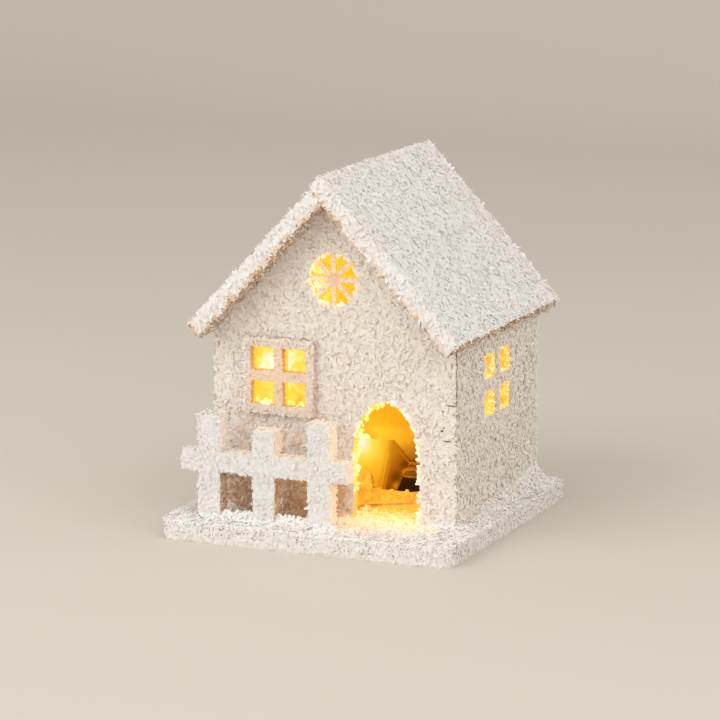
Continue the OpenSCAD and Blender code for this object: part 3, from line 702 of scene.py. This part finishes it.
# Kinds of flake: length, width, tilt in degrees, curl as a share of the length, lift in mm, lies on top
BED = ((1.8, 3.4), (0.9, 1.7), 5.0, 0.2, (0.0, 0.2), False)
RUFFLE = ((1.8, 4.0), (0.8, 1.5), 11.0, 0.25, (0.1, 0.45), True)
CURLS = ((1.6, 3.4), (0.5, 1.0), 28.0, 0.34, (0.0, 0.4), True)
FINE_BED = ((1.2, 2.4), (0.6, 1.2), 6.0, 0.18, (0.0, 0.15), False)
FINE = ((1.2, 2.6), (0.6, 1.1), 13.0, 0.28, (0.05, 0.4), True)
GRIT = ((0.5, 0.9), (0.35, 0.6), 10.0, 0.1, (0.0, 0.2), False)
SPECKS = ((0.6, 1.2), (0.4, 0.8), 12.0, 0.15, (0.0, 0.25), False)
FRINGE = ((0.8, 1.8), (0.5, 0.9), 24.0, 0.28, (0.0, 0.4), False)
SCALES = ((1.2, 2.8), (0.9, 1.7), 12.0, 0.2, (0.0, 0.3), False)
TEETH = ((1.8, 3.0), (1.5, 2.4), 12.0, 0.15, (0.0, 0.3), False)
PITS = ((0.6, 1.6), (0.25, 0.45), 5.0, 0.0, (0.45, 0.55), False)
DOTS = ((0.4, 0.8), (0.25, 0.4), 5.0, 0.0, (0.45, 0.55), False)


def layers_of(faces, *kinds):
    return [(faces, per_mm2, kind) for per_mm2, kind in kinds]


def layers_on(faces, bed=0.65, ruffle=0.26, curls=0.06):
    return layers_of(faces, (bed, BED), (ruffle, RUFFLE), (curls, CURLS))


def fine_layers_on(faces, bed=1.1, fine=0.25):
    return layers_of(faces, (bed, FINE_BED), (fine, FINE))


# Where flakes lie and how much painted lamp light they give off
thin_shaded_z, thin_shaded_right, thin_shaded_left = [28 * MM, 33 * MM, 54 * MM], (3 * MM, 8 * MM), (47 * MM, 53 * MM)
rail_z = 30 * MM
round_reach, round_rim, hub_reach = round_r + 0.2 * MM, round_r - 0.5 * MM, hub_r + 0.2 * MM
doorstep_reach = 25 * MM


def ramp_down(value, near, far):
    """1 up to near, 0 from far on."""
    return np.clip((far - value) / (far - near), 0, 1)


def chance(rng, part):
    return rng.random(len(part)) < part


def hub_distance(p):
    return np.hypot(p[:, 0], p[:, 2] - round_z)


def in_round_window(p):
    return hub_distance(p) < round_reach


def on_spokes(p):
    return in_round_window(p) & (hub_distance(p) > hub_r)


def from_spoke(p):
    """Distance from the middle line of the nearest spoke."""
    apart = 2 * np.pi / spokes
    turn = np.arctan2(p[:, 2] - round_z, p[:, 0])
    return hub_distance(p) * np.abs(np.sin((turn + apart / 2) % apart - apart / 2))


def thin_and_shaded_part(p):
    """How much of the front wall's coat is thin and tan, which also paints the fence's shade on it: most of
    it low behind the fence.
    """
    low = np.interp(p[:, 2], thin_shaded_z, [1.0, 0.6, 0.0])
    return low * ramp_down(p[:, 0], *thin_shaded_right) * ramp_down(-p[:, 0], *thin_shaded_left)


def below_rail(p):
    return p[:, 2] < rail_z


def threshold_glow(p, n):
    """Painted lamp light on the yard, fading away from the doorway, faster on the right."""
    faster = np.where(p[:, 0] > door_x, 2.2, 1.0)
    from_side = np.maximum(np.abs(p[:, 0] - door_x) - door_w / 2, 0) * faster
    forward = np.maximum(front_y - p[:, 1], 0)
    lit = (n[:, 2] > 0.8) & (p[:, 1] < back_y)
    return np.where(lit, 0.4 * ramp_down(np.hypot(from_side, forward), 0, doorstep_reach), 0)


def evenly(painted_glow):
    return lambda p, n: np.full(len(p), painted_glow)


def facing_front(depth, reach):
    """Lays flakes flat towards the front at one depth, to reach into an opening or over an edge."""
    play = 0.2

    def turned(p, n, rng):
        moved = p + n * (rng.uniform(*reach, len(p)) * MM)[:, None]
        moved[:, 1] = depth + rng.uniform(-play, play, len(p)) * MM
        return moved, np.tile([0.0, -1.0, 0.0], (len(p), 1))
    return turned


# Front wall: open coat, thin coat and painted shade behind the fence, spokes and the edges of its openings
# in painted lamp light
rake_skin = 3 * MM
far_edge_y, near_edge_y, round_edge_y = room_front - 1.6 * MM, front_y + 1.2 * MM, front_y + 1.5 * MM
tufts_z = 34 * MM
thin_light, spoke_light = (6 * MM, 24 * MM), [-8 * MM, 6 * MM]
front_faces = faces_towards(
    all_faces("front_wall"),
    lambda n, c: (c[:, 2] > yard_z)
    & ((n[:, 1] < -0.5) | (np.abs(n[:, 0]) > 0.95) & (np.abs(c[:, 0]) > half_w - MM)),
)
opening_edges = faces_towards(
    all_faces("front_wall"),
    lambda n, c: (np.abs(n[:, 1]) < 0.1) & (c[:, 2] > yard_z) & (np.abs(c[:, 0]) < room_x)
    & (c[:, 2] + np.abs(c[:, 0]) * math.tan(pitch) < peak_z - rake_skin),
)
door_edges = faces_towards(opening_edges, lambda n, c: c[:, 2] < door_top + HAIR)
round_edges = faces_towards(opening_edges, lambda n, c: c[:, 2] > round_z - round_r - MM)
coat("front_wall", layers_on(front_faces), wall_flakes, seed=11,
     keep=lambda p, n, rng: ~in_round_window(p) & ~chance(rng, thin_and_shaded_part(p)))
coat("front_wall_thin_shaded", layers_on(front_faces), tan_flakes, seed=12,
     keep=lambda p, n, rng: below_rail(p) & chance(rng, 0.85 * thin_and_shaded_part(p)),
     painted_glow=lambda p, n: 0.13 * ramp_down(-p[:, 0], *thin_light))
coat("front_wall_half_shaded", layers_on(front_faces), blush_flakes, seed=10,
     keep=lambda p, n, rng: chance(rng, np.where(below_rail(p), 0.22, 0.95) * thin_and_shaded_part(p)))
coat("round_window", layers_of(front_faces, (2.0, GRIT), (0.35, FRINGE)), frame_flakes, seed=13,
     keep=lambda p, n, rng: on_spokes(p) & (from_spoke(p) < spoke_half),
     painted_glow=lambda p, n: np.interp(p[:, 0], spoke_light, [0.5, 0.2]))
# the spokes' edges shine like the film behind them
coat("round_window_spokes", layers_of(front_faces, (3.0, GRIT)), lamplit_amber_flakes, seed=24,
     keep=lambda p, n, rng: on_spokes(p) & (from_spoke(p) >= spoke_half),
     painted_glow=lambda p, n: np.interp(p[:, 0], spoke_light, [0.8, 0.5]))
coat("round_window_hub", layers_of(front_faces, (2.6, GRIT)), tan_flakes, seed=26, painted_glow=evenly(0.37),
     keep=lambda p, n, rng: hub_distance(p) < hub_reach)
coat("round_window_rim", layers_of(round_edges, (0.65, SCALES)), wall_flakes, seed=27,
     painted_glow=lambda p, n: np.where(p[:, 0] + (p[:, 2] - round_z) * 0.4 < 0, 0.6, 0.25),
     keep=lambda p, n, rng: (p[:, 1] < round_edge_y) & (hub_distance(p) > round_rim),
     turn=facing_front(depth=front_y + 0.3 * MM, reach=(0.0, 1.2)))
coat("round_window_edge", layers_of(round_edges, (0.7, SPECKS)), lamplit_flakes, seed=14,
     painted_glow=evenly(0.6))
# the doorway's far edge on the left and over the arch, and its near edge on the right, with painted lamp
# light on their flakes
coat("doorway_fringe", layers_of(door_edges, (0.5, SCALES)), wall_flakes, seed=16, painted_glow=evenly(0.95),
     keep=lambda p, n, rng: (p[:, 1] > far_edge_y) & (p[:, 2] > yard_z + MM),
     turn=facing_front(depth=room_front - 0.4 * MM, reach=(0.0, 1.1)))
coat("doorway_tufts", layers_of(door_edges, (0.3, TEETH)), lamplit_amber_flakes, seed=29, painted_glow=evenly(0.95),
     keep=lambda p, n, rng: (p[:, 1] > far_edge_y) & (p[:, 2] > tufts_z) & (n[:, 0] > 0.1),
     turn=facing_front(depth=room_front - 0.2 * MM, reach=(0.3, 2.0)))
coat("doorway_rim", layers_of(door_edges, (0.8, SCALES)), wall_flakes, seed=15, painted_glow=evenly(0.75),
     keep=lambda p, n, rng: (p[:, 1] < near_edge_y) & chance(rng, np.where(n[:, 0] < -0.2, 1.0, 0.2)),
     turn=facing_front(depth=front_y, reach=(-0.2, 0.7)))

# Other walls, with a fringe of flakes in painted lamp light on the side windows' edges
fringe_depth = 2.5 * MM
back_faces = faces_towards(
    all_faces("back_wall"), lambda n, c: (c[:, 2] > yard_z) & ((n[:, 1] > 0.5) | (np.abs(n[:, 0]) > 0.95))
)
coat("back_wall", layers_on(back_faces), wall_flakes, seed=17)
for side, name in ((-1, "left_wall"), (1, "right_wall")):
    faces = faces_towards(all_faces(name), lambda n, c: (c[:, 2] > yard_z) & (n[:, 0] * side > 0.95))
    edges = faces_towards(
        all_faces(name),
        lambda n, c: (np.abs(n[:, 0]) < 0.1) & (np.abs(c[:, 2] - side_window_z) < side_window_reach_z)
        & (np.abs(c[:, 1] - side_window_y) < side_window_reach_y),
    )
    coat(name, layers_on(faces), wall_flakes, seed=18 + side)
    coat(name + "_panes", layers_of(edges, (0.8, FRINGE)), wall_flakes, seed=22 + side, painted_glow=evenly(0.6),
         keep=lambda p, n, rng: np.abs(p[:, 0]) > half_w - fringe_depth)

# Cracks at the corners where the front wall covers the side walls' ends
crack_z, cracks_right, cracks_left = 48 * MM, half_w - 7 * MM, 2.5 * MM - half_w
coat("corner_cracks", layers_of(front_faces, (0.04, PITS)), crack_and_shade_flakes, seed=25,
     keep=lambda p, n, rng: (p[:, 0] > cracks_right) & (p[:, 2] > crack_z) | (p[:, 0] < cracks_left))


def make_cracks(name, strokes, seed):
    """Cracks in the coat of the right front corner.

    A stroke is (place beside the corner, height, length and width in mm, whether it runs up the corner).
    """
    rng = np.random.default_rng(seed)
    proud, wander = 1.1, 0.2
    n = len(strokes)
    corners, facing = np.empty((n, 4, 2, 3)), np.empty((n, 3))
    for i, (beside, height, long, wide, upright) in enumerate(strokes):
        out = np.array([1.0, -1.0, 0.0]) / math.sqrt(2) if upright else np.array([0.0, -1.0, 0.0])
        along = np.array([0.0, 0.0, 1.0]) if upright else np.array([1.0, 0.0, 0.0])
        across = np.cross(out, along)
        middle = np.array([half_w + beside * MM, front_y, height * MM]) + out * proud * MM
        for j, (s, t) in enumerate(zip(STATIONS, TAPER)):
            at = middle + (along * s * long + across * rng.uniform(-wander, wander)) * MM
            corners[i, j, 0] = at - across * wide * t / 2 * MM
            corners[i, j, 1] = at + across * wide * t / 2 * MM
        facing[i] = out
    flake_mesh(name, corners, np.repeat(facing, 8, axis=0), np.zeros(n), np.zeros(n), crack_and_shade_flakes, False)


make_cracks("corner_seam", [
    (0.0, 82.5, 7.0, 0.8, True), (0.1, 76.8, 5.0, 0.4, True), (-0.2, 71.8, 4.5, 0.35, True),
    (0.1, 67.6, 4.0, 0.45, True), (-0.1, 63.8, 3.4, 0.35, True), (0.0, 60.6, 3.0, 0.45, True),
    (-1.0, 59.2, 4.2, 0.5, False), (-5.4, 48.4, 1.2, 0.9, False), (-3.0, 44.6, 3.4, 0.45, False),
], seed=28)


def outside_room(p, n, rng):
    within = (np.abs(p[:, 0]) < half_w) & (p[:, 1] > front_y) & (p[:, 1] < back_y)
    return ~(within & (n[:, 2] < 0))


# Roof panels: white on top and on the rims, thinner below and browner there with painted shade
for seed, name, share in ((31, "left_roof", 1.0), (33, "right_roof", 0.45)):
    above = faces_towards(all_faces(name), lambda n, c: n[:, 2] > -0.5)
    below = faces_towards(all_faces(name), lambda n, c: n[:, 2] <= -0.5)
    coat(name, layers_on(above, ruffle=0.22), white_flakes, seed, keep=outside_room)
    coat(name + "_below", layers_on(below, bed=0.35, ruffle=0.08, curls=0.04), tan_flakes, seed + 1,
         keep=outside_room)
    coat(name + "_below_white", layers_on(below, bed=0.25, ruffle=0.1, curls=0.1), wall_flakes, seed + 4,
         keep=outside_room)
    # the front rim's lower edge is half coated, with painted shade and dark pits of painted shade, most of
    # all on the left
    for order, part, per_mm2, kind, look, proud, reach in (
        (60, "half_shaded", 1.0 * share, SCALES, blush_flakes, 0.3 * MM, (-1.9, 0.2)),
        (70, "thin_shaded", 0.4 * share, SCALES, tan_flakes, 0.35 * MM, (-0.8, 0.5)),
        (80, "shade_pits", 0.45 * share, PITS, crack_and_shade_flakes, 0.5 * MM, (-1.2, 0.9)),
    ):
        coat(name + "_rim_" + part, layers_of(below, (per_mm2, kind)), look, seed + order,
             keep=lambda p, n, rng: p[:, 1] < roof_front + MM,
             turn=facing_front(depth=roof_front - proud, reach=reach))


def in_panes(p):
    return (np.abs(p[:, 0] - frame_x) < panes_half_w) & (np.abs(p[:, 2] - frame_z) < panes_half_h)


# Window frame: fine flakes, with painted lamp light on the bars and amber painted lamp light on the edges
# of the panes
rim_width, foot_drop = 1.2 * MM, 4 * MM
frame_faces = faces_towards(
    all_faces("window_frame"), lambda n, c: (n[:, 1] < 0.5) & ((n[:, 1] < -0.5) | ~in_panes(c))
)
pane_edges = faces_towards(all_faces("window_frame"), lambda n, c: (np.abs(n[:, 1]) < 0.5) & in_panes(c))
coat("window_frame", layers_of(frame_faces, (1.4, SPECKS), (0.8, FINE_BED), (0.4, FINE)), frame_flakes,
     seed=41, keep=lambda p, n, rng: ~in_panes(p))
coat("window_bars", layers_of(frame_faces, (1.6, SPECKS), (0.8, FINE_BED), (0.15, FINE)), lamplit_bar_flakes,
     seed=45, keep=lambda p, n, rng: in_panes(p), painted_glow=evenly(0.07))
# painted highlight: whiter flakes along the frame's left and top edges
coat("window_frame_highlight", layers_of(frame_faces, (0.6, FINE)), white_flakes, seed=44,
     keep=lambda p, n, rng: (p[:, 0] < frame_low.x + rim_width) | (p[:, 2] > frame_high.z - rim_width))
coat("window_panes", layers_of(pane_edges, (2.0, SPECKS)), lamplit_flakes, seed=42, painted_glow=evenly(0.4))
coat("window_panes_foot", layers_of(pane_edges, (0.35, SCALES)), wall_flakes, seed=43, painted_glow=evenly(0.8),
     keep=lambda p, n, rng: (n[:, 2] > 0.5) & (p[:, 2] < frame_z - foot_drop))


# Fence: heights and places between which the painted lamp light on it grows
picket_light_z, picket_light_x, top_light_x = [28 * MM, 37 * MM], [-30 * MM, 5 * MM], [-42 * MM, -24 * MM]
thin_shaded_picket_z, fence_foot = 28.5 * MM, yard_z + 0.5 * MM


def picket_glow(p, n):
    """Painted lamp light on the tops and on the sides that face the doorway, most of it above the rail."""
    high = np.interp(p[:, 2], picket_light_z, [0.25, 1.0])
    near = np.interp(p[:, 0], picket_light_x, [0.75, 1.4])
    sides = 0.17 * np.maximum(high, p[:, 0] > 0) * near
    tops = np.interp(p[:, 0], top_light_x, [0.02, 0.15])
    return np.where(n[:, 0] > 0.5, sides, np.where(n[:, 2] > 0.5, tops, 0))


def thin_shaded_picket_side(p, n):
    """The pickets' right-hand sides, below the rail and left of the house's middle, are thinly coated, and
    their tan also paints the shade there.
    """
    return (n[:, 0] > 0.5) & (p[:, 2] < thin_shaded_picket_z) & (p[:, 0] < 0)


fence_faces = faces_towards(all_faces("fence"), lambda n, c: c[:, 2] > fence_foot)
coat("fence", fine_layers_on(fence_faces) + layers_of(fence_faces, (0.06, RUFFLE)), fence_flakes, seed=51,
     keep=lambda p, n, rng: ~thin_shaded_picket_side(p, n) | chance(rng, np.full(len(p), 0.12)),
     painted_glow=picket_glow)
coat("fence_thin_shaded", fine_layers_on(fence_faces), tan_flakes, seed=52,
     keep=lambda p, n, rng: thin_shaded_picket_side(p, n))


# Base board: the yard and the board's edges
floor_reach, brim, lowest_flake, lowest_pit = 23 * MM, 1.2 * MM, 0.9 * MM, 2.5 * MM
sill_lap, door_lap, fence_lap = 0.3 * MM, 3 * MM, 3 * MM
corner_x, corner_y = base_high.x - 7 * MM, base_high.y - 7 * MM
yard_thin_shaded_right, yard_thin_shaded_left = (-6 * MM, 6 * MM), (38 * MM, 50 * MM)


def yard_only(p, rng):
    """Keeps the yard and the board's edges, and thins the flakes out behind the doorway."""
    within = (np.abs(p[:, 0]) < room_x) & (p[:, 1] > front_y - sill_lap) & (p[:, 1] < back_y)
    depth = (p[:, 1] - front_y) / floor_reach
    by_door = (np.abs(p[:, 0] - door_x) < door_w / 2 + door_lap) & (rng.random(len(p)) > depth)
    walls = (np.abs(p[:, 0]) < half_w) & (p[:, 1] > front_y) & (p[:, 1] < back_y)
    return (~walls | within & by_door) & (p[:, 2] > lowest_flake)


def behind_fence(p, n, rng):
    """Picks places in the yard between the fence and the wall, where the coat is as thin as on the wall and
    its tan also paints the shade there.
    """
    strip = (p[:, 1] > fence_high.y - fence_lap) & (p[:, 1] < front_y) & (n[:, 2] > 0.5)
    thin_shaded = 0.9 * ramp_down(p[:, 0], *yard_thin_shaded_right) * ramp_down(-p[:, 0], *yard_thin_shaded_left)
    return strip & chance(rng, thin_shaded)


def over_brim(p, n, rng):
    """Lays flakes over the board's upper edge, so that it looks round."""
    drop = 0.5
    turn = np.radians(rng.uniform(10, 80, len(p)))[:, None]
    out = n * np.cos(turn) + np.array([0.0, 0.0, 1.0]) * np.sin(turn)
    moved = p - n * (rng.uniform(0, drop, len(p)) * MM)[:, None]
    moved[:, 2] = yard_z - rng.uniform(0, drop, len(p)) * MM
    return moved, out


board_top = faces_towards(all_faces("base_board"), lambda n, c: (n[:, 2] > 0.9) & (c[:, 2] > yard_z - HAIR))
board_sides = faces_towards(
    all_faces("base_board"),
    lambda n, c: (np.abs(n[:, 2]) < 0.1) & ((np.abs(c[:, 0]) > corner_x) | (np.abs(c[:, 1]) > corner_y)),
)
coat("base_board", layers_on(board_top, ruffle=0.28, curls=0.1) + fine_layers_on(board_sides, fine=0.45),
     white_flakes, seed=61, painted_glow=threshold_glow,
     keep=lambda p, n, rng: yard_only(p, rng) & ~behind_fence(p, n, rng))
coat("base_board_brim", layers_of(board_sides, (0.9, FINE_BED), (0.8, FINE)), white_flakes, seed=64,
     keep=lambda p, n, rng: p[:, 2] > yard_z - brim, turn=over_brim)
coat("base_board_thin_shaded", layers_on(board_top), tan_flakes, seed=63, keep=behind_fence)
# painted shade: dark dots and pits between the flakes on the board's edges
coat("base_board_shade_pits", layers_of(board_sides, (0.17, DOTS), (0.03, PITS)), crack_and_shade_flakes, seed=62,
     keep=lambda p, n, rng: p[:, 2] > lowest_pit)


# Snow bank along the right wall: near the wall it takes the wall's colour
bank_cream = (1.5 * MM, 7.5 * MM)
bank_faces = faces_towards(all_faces("snow_bank"), lambda n, c: (n[:, 2] > 0.05) | (np.abs(n[:, 1]) > 0.9))
bank_layers = layers_on(bank_faces, ruffle=0.35, curls=0.25)


def near_wall(p):
    return 0.85 * ramp_down(p[:, 0] - half_w, *bank_cream)


coat("snow_bank", bank_layers, white_flakes, seed=65, keep=lambda p, n, rng: ~chance(rng, near_wall(p)))
coat("snow_bank_top", bank_layers, wall_flakes, seed=66, keep=lambda p, n, rng: chance(rng, near_wall(p)))


# Drift of flakes along the foot of the fence and of the other walls
drift_reach, drift_height = 8.5 * MM, 6.5 * MM


def bank_line(stops, step=2.5 * MM, turn_step=15.0):
    """Points along a bank's highest line.

    A stop is (place, way that the bank falls in degrees, share of its height).
    """
    line = []
    for (start, start_way, start_share), (end, end_way, end_share) in zip(stops, stops[1:]):
        count = 1 + max(int(math.dist(start, end) / step), int(abs(end_way - start_way) / turn_step), 1)
        line.append(np.linspace((*start, start_way, start_share), (*end, end_way, end_share), count))
    return np.concatenate(line)


def two_banks(stops, ways):
    """Banks that fall to both sides of one line. A stop is (place, share of the height)."""
    return [bank_line([(place, way, share) for place, share in stops]) for way in ways]


def drift_lines():
    door_right = door_x + door_w / 2
    heap_y = fence_low.y + 1.5 * MM
    by_fence = [
        ((fence_low.x + 5 * MM, heap_y), 0.0), ((fence_low.x + 10 * MM, heap_y), 0.6),
        ((fence_high.x - 9 * MM, heap_y), 0.6), ((fence_high.x - 4 * MM, heap_y), 0.0),
    ]
    around = [
        ((half_w, 5 * MM), 0, 0.5), ((half_w, back_y), 0, 1.3), ((half_w, back_y), 90, 1.25),
        ((half_w - 40 * MM, back_y), 90, 0.9), ((-half_w, back_y), 90, 0.9), ((-half_w, back_y), 180, 1.0),
        ((-half_w, front_y), 180, 1.0), ((-half_w, front_y), 270, 0.8),
        ((10 * MM - half_w, front_y), 270, 0.0),
    ]
    by_door = [
        ((door_right, front_y), 270, 0.0), ((door_right + 5 * MM, front_y), 270, 0.35),
        ((half_w, front_y), 270, 0.35), ((half_w, front_y), 360, 0.35),
    ]
    left_of_fence = [
        ((-58.5 * MM, -53 * MM), 0.0), ((-57.5 * MM, -45 * MM), 0.45),
        ((-57 * MM, -30 * MM), 0.55), ((-57 * MM, -15 * MM), 0.3),
    ]
    along_walls = [bank_line(around), bank_line(by_door)]
    return two_banks(by_fence, (270, 90)) + along_walls + two_banks(left_of_fence, (180, 0))


def bank_rings(line, rng):
    """Cross sections of a bank along its line."""
    profile = np.array([[0.0, 1.0], [0.18, 0.62], [0.42, 0.3], [0.7, 0.1], [1.0, 0.0]])
    n, knot_step, rough = len(line), 6, 0.1 * MM
    knots = np.arange(0, n + knot_step, knot_step)
    size = np.interp(np.arange(n), knots, rng.uniform(0.75, 1.0, len(knots))) * line[:, 3]
    out = np.stack([np.cos(np.radians(line[:, 2])), np.sin(np.radians(line[:, 2]))], 1)
    rings = np.empty((n, len(profile), 3))
    for i, (d, h) in enumerate(profile):
        rings[:, i, :2] = line[:, :2] + out * (drift_reach * d * size)[:, None]
        rings[:, i, 2] = yard_z + drift_height * h * size + rng.normal(0, rough, n) * (h < 1)
    return rings


def make_drift():
    rng = np.random.default_rng(71)
    places, faces = [], []
    for line in drift_lines():
        rings = bank_rings(line, rng)
        n, m = rings.shape[:2]
        first = len(places)
        places.extend(map(tuple, rings.reshape(-1, 3)))
        for i in range(n - 1):
            for j in range(m - 1):
                a = first + i * m + j
                faces.append((a, a + 1, a + m + 1, a + m))
    mesh = smooth_mesh("snow_drift", places, faces)
    mesh.materials.append(white_board)
    add_coat_piece("snow_drift", mesh)
    corners = corners_of(mesh)
    upside_down = outward(corners)[:, 2] < 0
    corners[upside_down] = corners[upside_down][:, ::-1]
    coat("snow_drift", layers_on(corners, ruffle=0.35, curls=0.2), white_flakes, seed=72)


make_drift()


# Flakes in painted lamp light that cling to the sill strip's upper edge, with a small heap of them left of
# the doorway
edge_width, above_joint = 2 * MM, 1.6 * MM
heap_place, heap_radii = (1.8 * MM, -8.1 * MM, sill_high.z), np.array([3.2, 0.9, 6.6]) * MM
heap_back = -7.3 * MM


def mound(middle, radii, around=16, up=6):
    """Triangles of half an ellipsoid."""
    turn = np.linspace(0, 2 * np.pi, around + 1)
    rise = np.linspace(0, np.pi / 2, up + 1)
    t, r = np.meshgrid(turn, rise)
    places = np.stack([np.cos(t) * np.cos(r), np.sin(t) * np.cos(r), np.sin(r)], -1) * radii + middle
    a, b, c, d = places[:-1, :-1], places[:-1, 1:], places[1:, 1:], places[1:, :-1]
    return np.concatenate([np.stack([a, b, c], 2), np.stack([a, c, d], 2)]).reshape(-1, 3, 3)


sill_top = faces_towards(all_faces("sill_strip"), lambda n, c: n[:, 2] > 0.9)
sill_front = faces_towards(all_faces("sill_strip"), lambda n, c: n[:, 1] < -0.9)
heap_faces = mound(np.array(heap_place), heap_radii)
coat("sill_strip", layers_of(sill_top, (0.45, TEETH)), lamplit_amber_flakes, seed=81, painted_glow=evenly(0.36),
     keep=lambda p, n, rng: p[:, 1] < sill_low.y + edge_width,
     turn=facing_front(depth=sill_low.y - 0.2 * MM, reach=(-0.9, 0.6)))
coat("sill_front", layers_of(sill_front, (0.45, FINE_BED)), lamplit_amber_flakes, seed=83, painted_glow=evenly(0.3),
     keep=lambda p, n, rng: p[:, 2] > yard_z + above_joint + joint_climb * (p[:, 0] - joint_x))
coat("sill_heap", layers_of(heap_faces, (0.9, TEETH)), lamplit_amber_flakes, seed=82, painted_glow=evenly(0.48))
# painted shadow: dark flakes that peek out to the right of the heap
coat("sill_heap_shadow", layers_of(heap_faces, (5.0, GRIT)), lamplit_flakes, seed=84,
     keep=lambda p, n, rng: n[:, 0] > 0.6, turn=facing_front(depth=heap_back, reach=(0.6, 1.9)))


# Stage, lights and camera

def make_stage():
    made, tree, shader = new_material("pale stage paper")
    cloudy = noise(tree, object_coordinates(tree), 3.0, 2.0)
    paper = mix_colour(tree, cloudy, (0.66, 0.61, 0.54), (0.68, 0.63, 0.56))
    feed(tree, paper, shader.inputs["Base Color"])
    shader.inputs["Roughness"].default_value = 0.9
    side, front, depth, height, bend, steps = 4.0, -3.0, 1.6, 3.0, 0.5, 12
    line = [(front, 0.0), (depth - bend, 0.0)]
    for i in range(1, steps + 1):
        a = math.pi / 2 * i / steps
        line.append((depth - bend + bend * math.sin(a), bend - bend * math.cos(a)))
    line.append((depth, height))
    places = [(x, y, z) for y, z in line for x in (-side, side)]
    faces = [(2 * i, 2 * i + 1, 2 * i + 3, 2 * i + 2) for i in range(len(line) - 1)]
    mesh = smooth_mesh("stage_sweep", places, faces)
    mesh.materials.append(made)
    sweep = add_object("stage_sweep", mesh)


def add_light(name, kind, energy, colour, place, target=None, **values):
    data = bpy.data.lights.new(name, kind)
    data.energy = energy
    data.color = colour
    for key, value in values.items():
        setattr(data, key, value)
    made = add_object(name, data)
    made.location = place
    if target is not None:
        made.rotation_mode = "QUATERNION"
        made.rotation_quaternion = (Vector(target) - Vector(place)).to_track_quat("-Z", "Y")
    return made


make_stage()
daylight, house_middle = (1.0, 0.99, 0.97), (0, 0, 0.06)
add_light("key_light", "AREA", 6.3, daylight, (-0.55, -0.9, 0.85), house_middle, size=1.1)
add_light("side_light", "AREA", 4.4, daylight, (0.8, -0.5, 0.9), house_middle, size=1.2)
for name, energy, colour, place in (
    ("lamp_glow", 0.005, (1.0, 0.56, 0.012), lamp_place + Vector((1.5 * MM, -4.5 * MM, 2 * MM))),
    ("doorway_glow", 0.0035, (1.0, 0.66, 0.16), Vector((door_x - 2 * MM, room_front, 30 * MM))),
):
    glow = add_light(name, "POINT", energy, colour, place, shadow_soft_size=2 * MM)
    glow.visible_camera = False

world = bpy.data.worlds.new("soft_room")
bpy.context.scene.world = world
world.use_nodes = True
background = world.node_tree.nodes["Background"]
background.inputs["Color"].default_value = (1.0, 0.985, 0.965, 1)
background.inputs["Strength"].default_value = 0.73

# Camera at the photograph's angle, with the house's foot right of and below the picture's middle
picture_px, focal_px, right_px, below_px = 720, 3503.76, 7.43, 157.4
azimuth, elevation, distance = math.radians(23.56), math.radians(11.36), 1.47013
sensor = 36
focal = focal_px / picture_px
level = math.cos(elevation)
back = Vector((math.sin(azimuth) * level, -math.cos(azimuth) * level, math.sin(elevation)))
right = Vector((math.cos(azimuth), math.sin(azimuth), 0))
up = back.cross(right)
camera = bpy.data.cameras.new("camera")
camera.sensor_width = sensor
camera.lens = sensor * focal
camera.clip_start, camera.clip_end = 0.05, 50
viewer = add_object("camera", camera)
aside = right_px / picture_px * distance / focal
raised = below_px / picture_px * distance / focal
viewer.location = back * distance - right * aside + up * raised
viewer.rotation_mode = "QUATERNION"
viewer.rotation_quaternion = Matrix((right, up, back)).transposed().to_quaternion()
bpy.context.scene.camera = viewer
bpy.context.scene.view_settings.view_transform = "Standard"
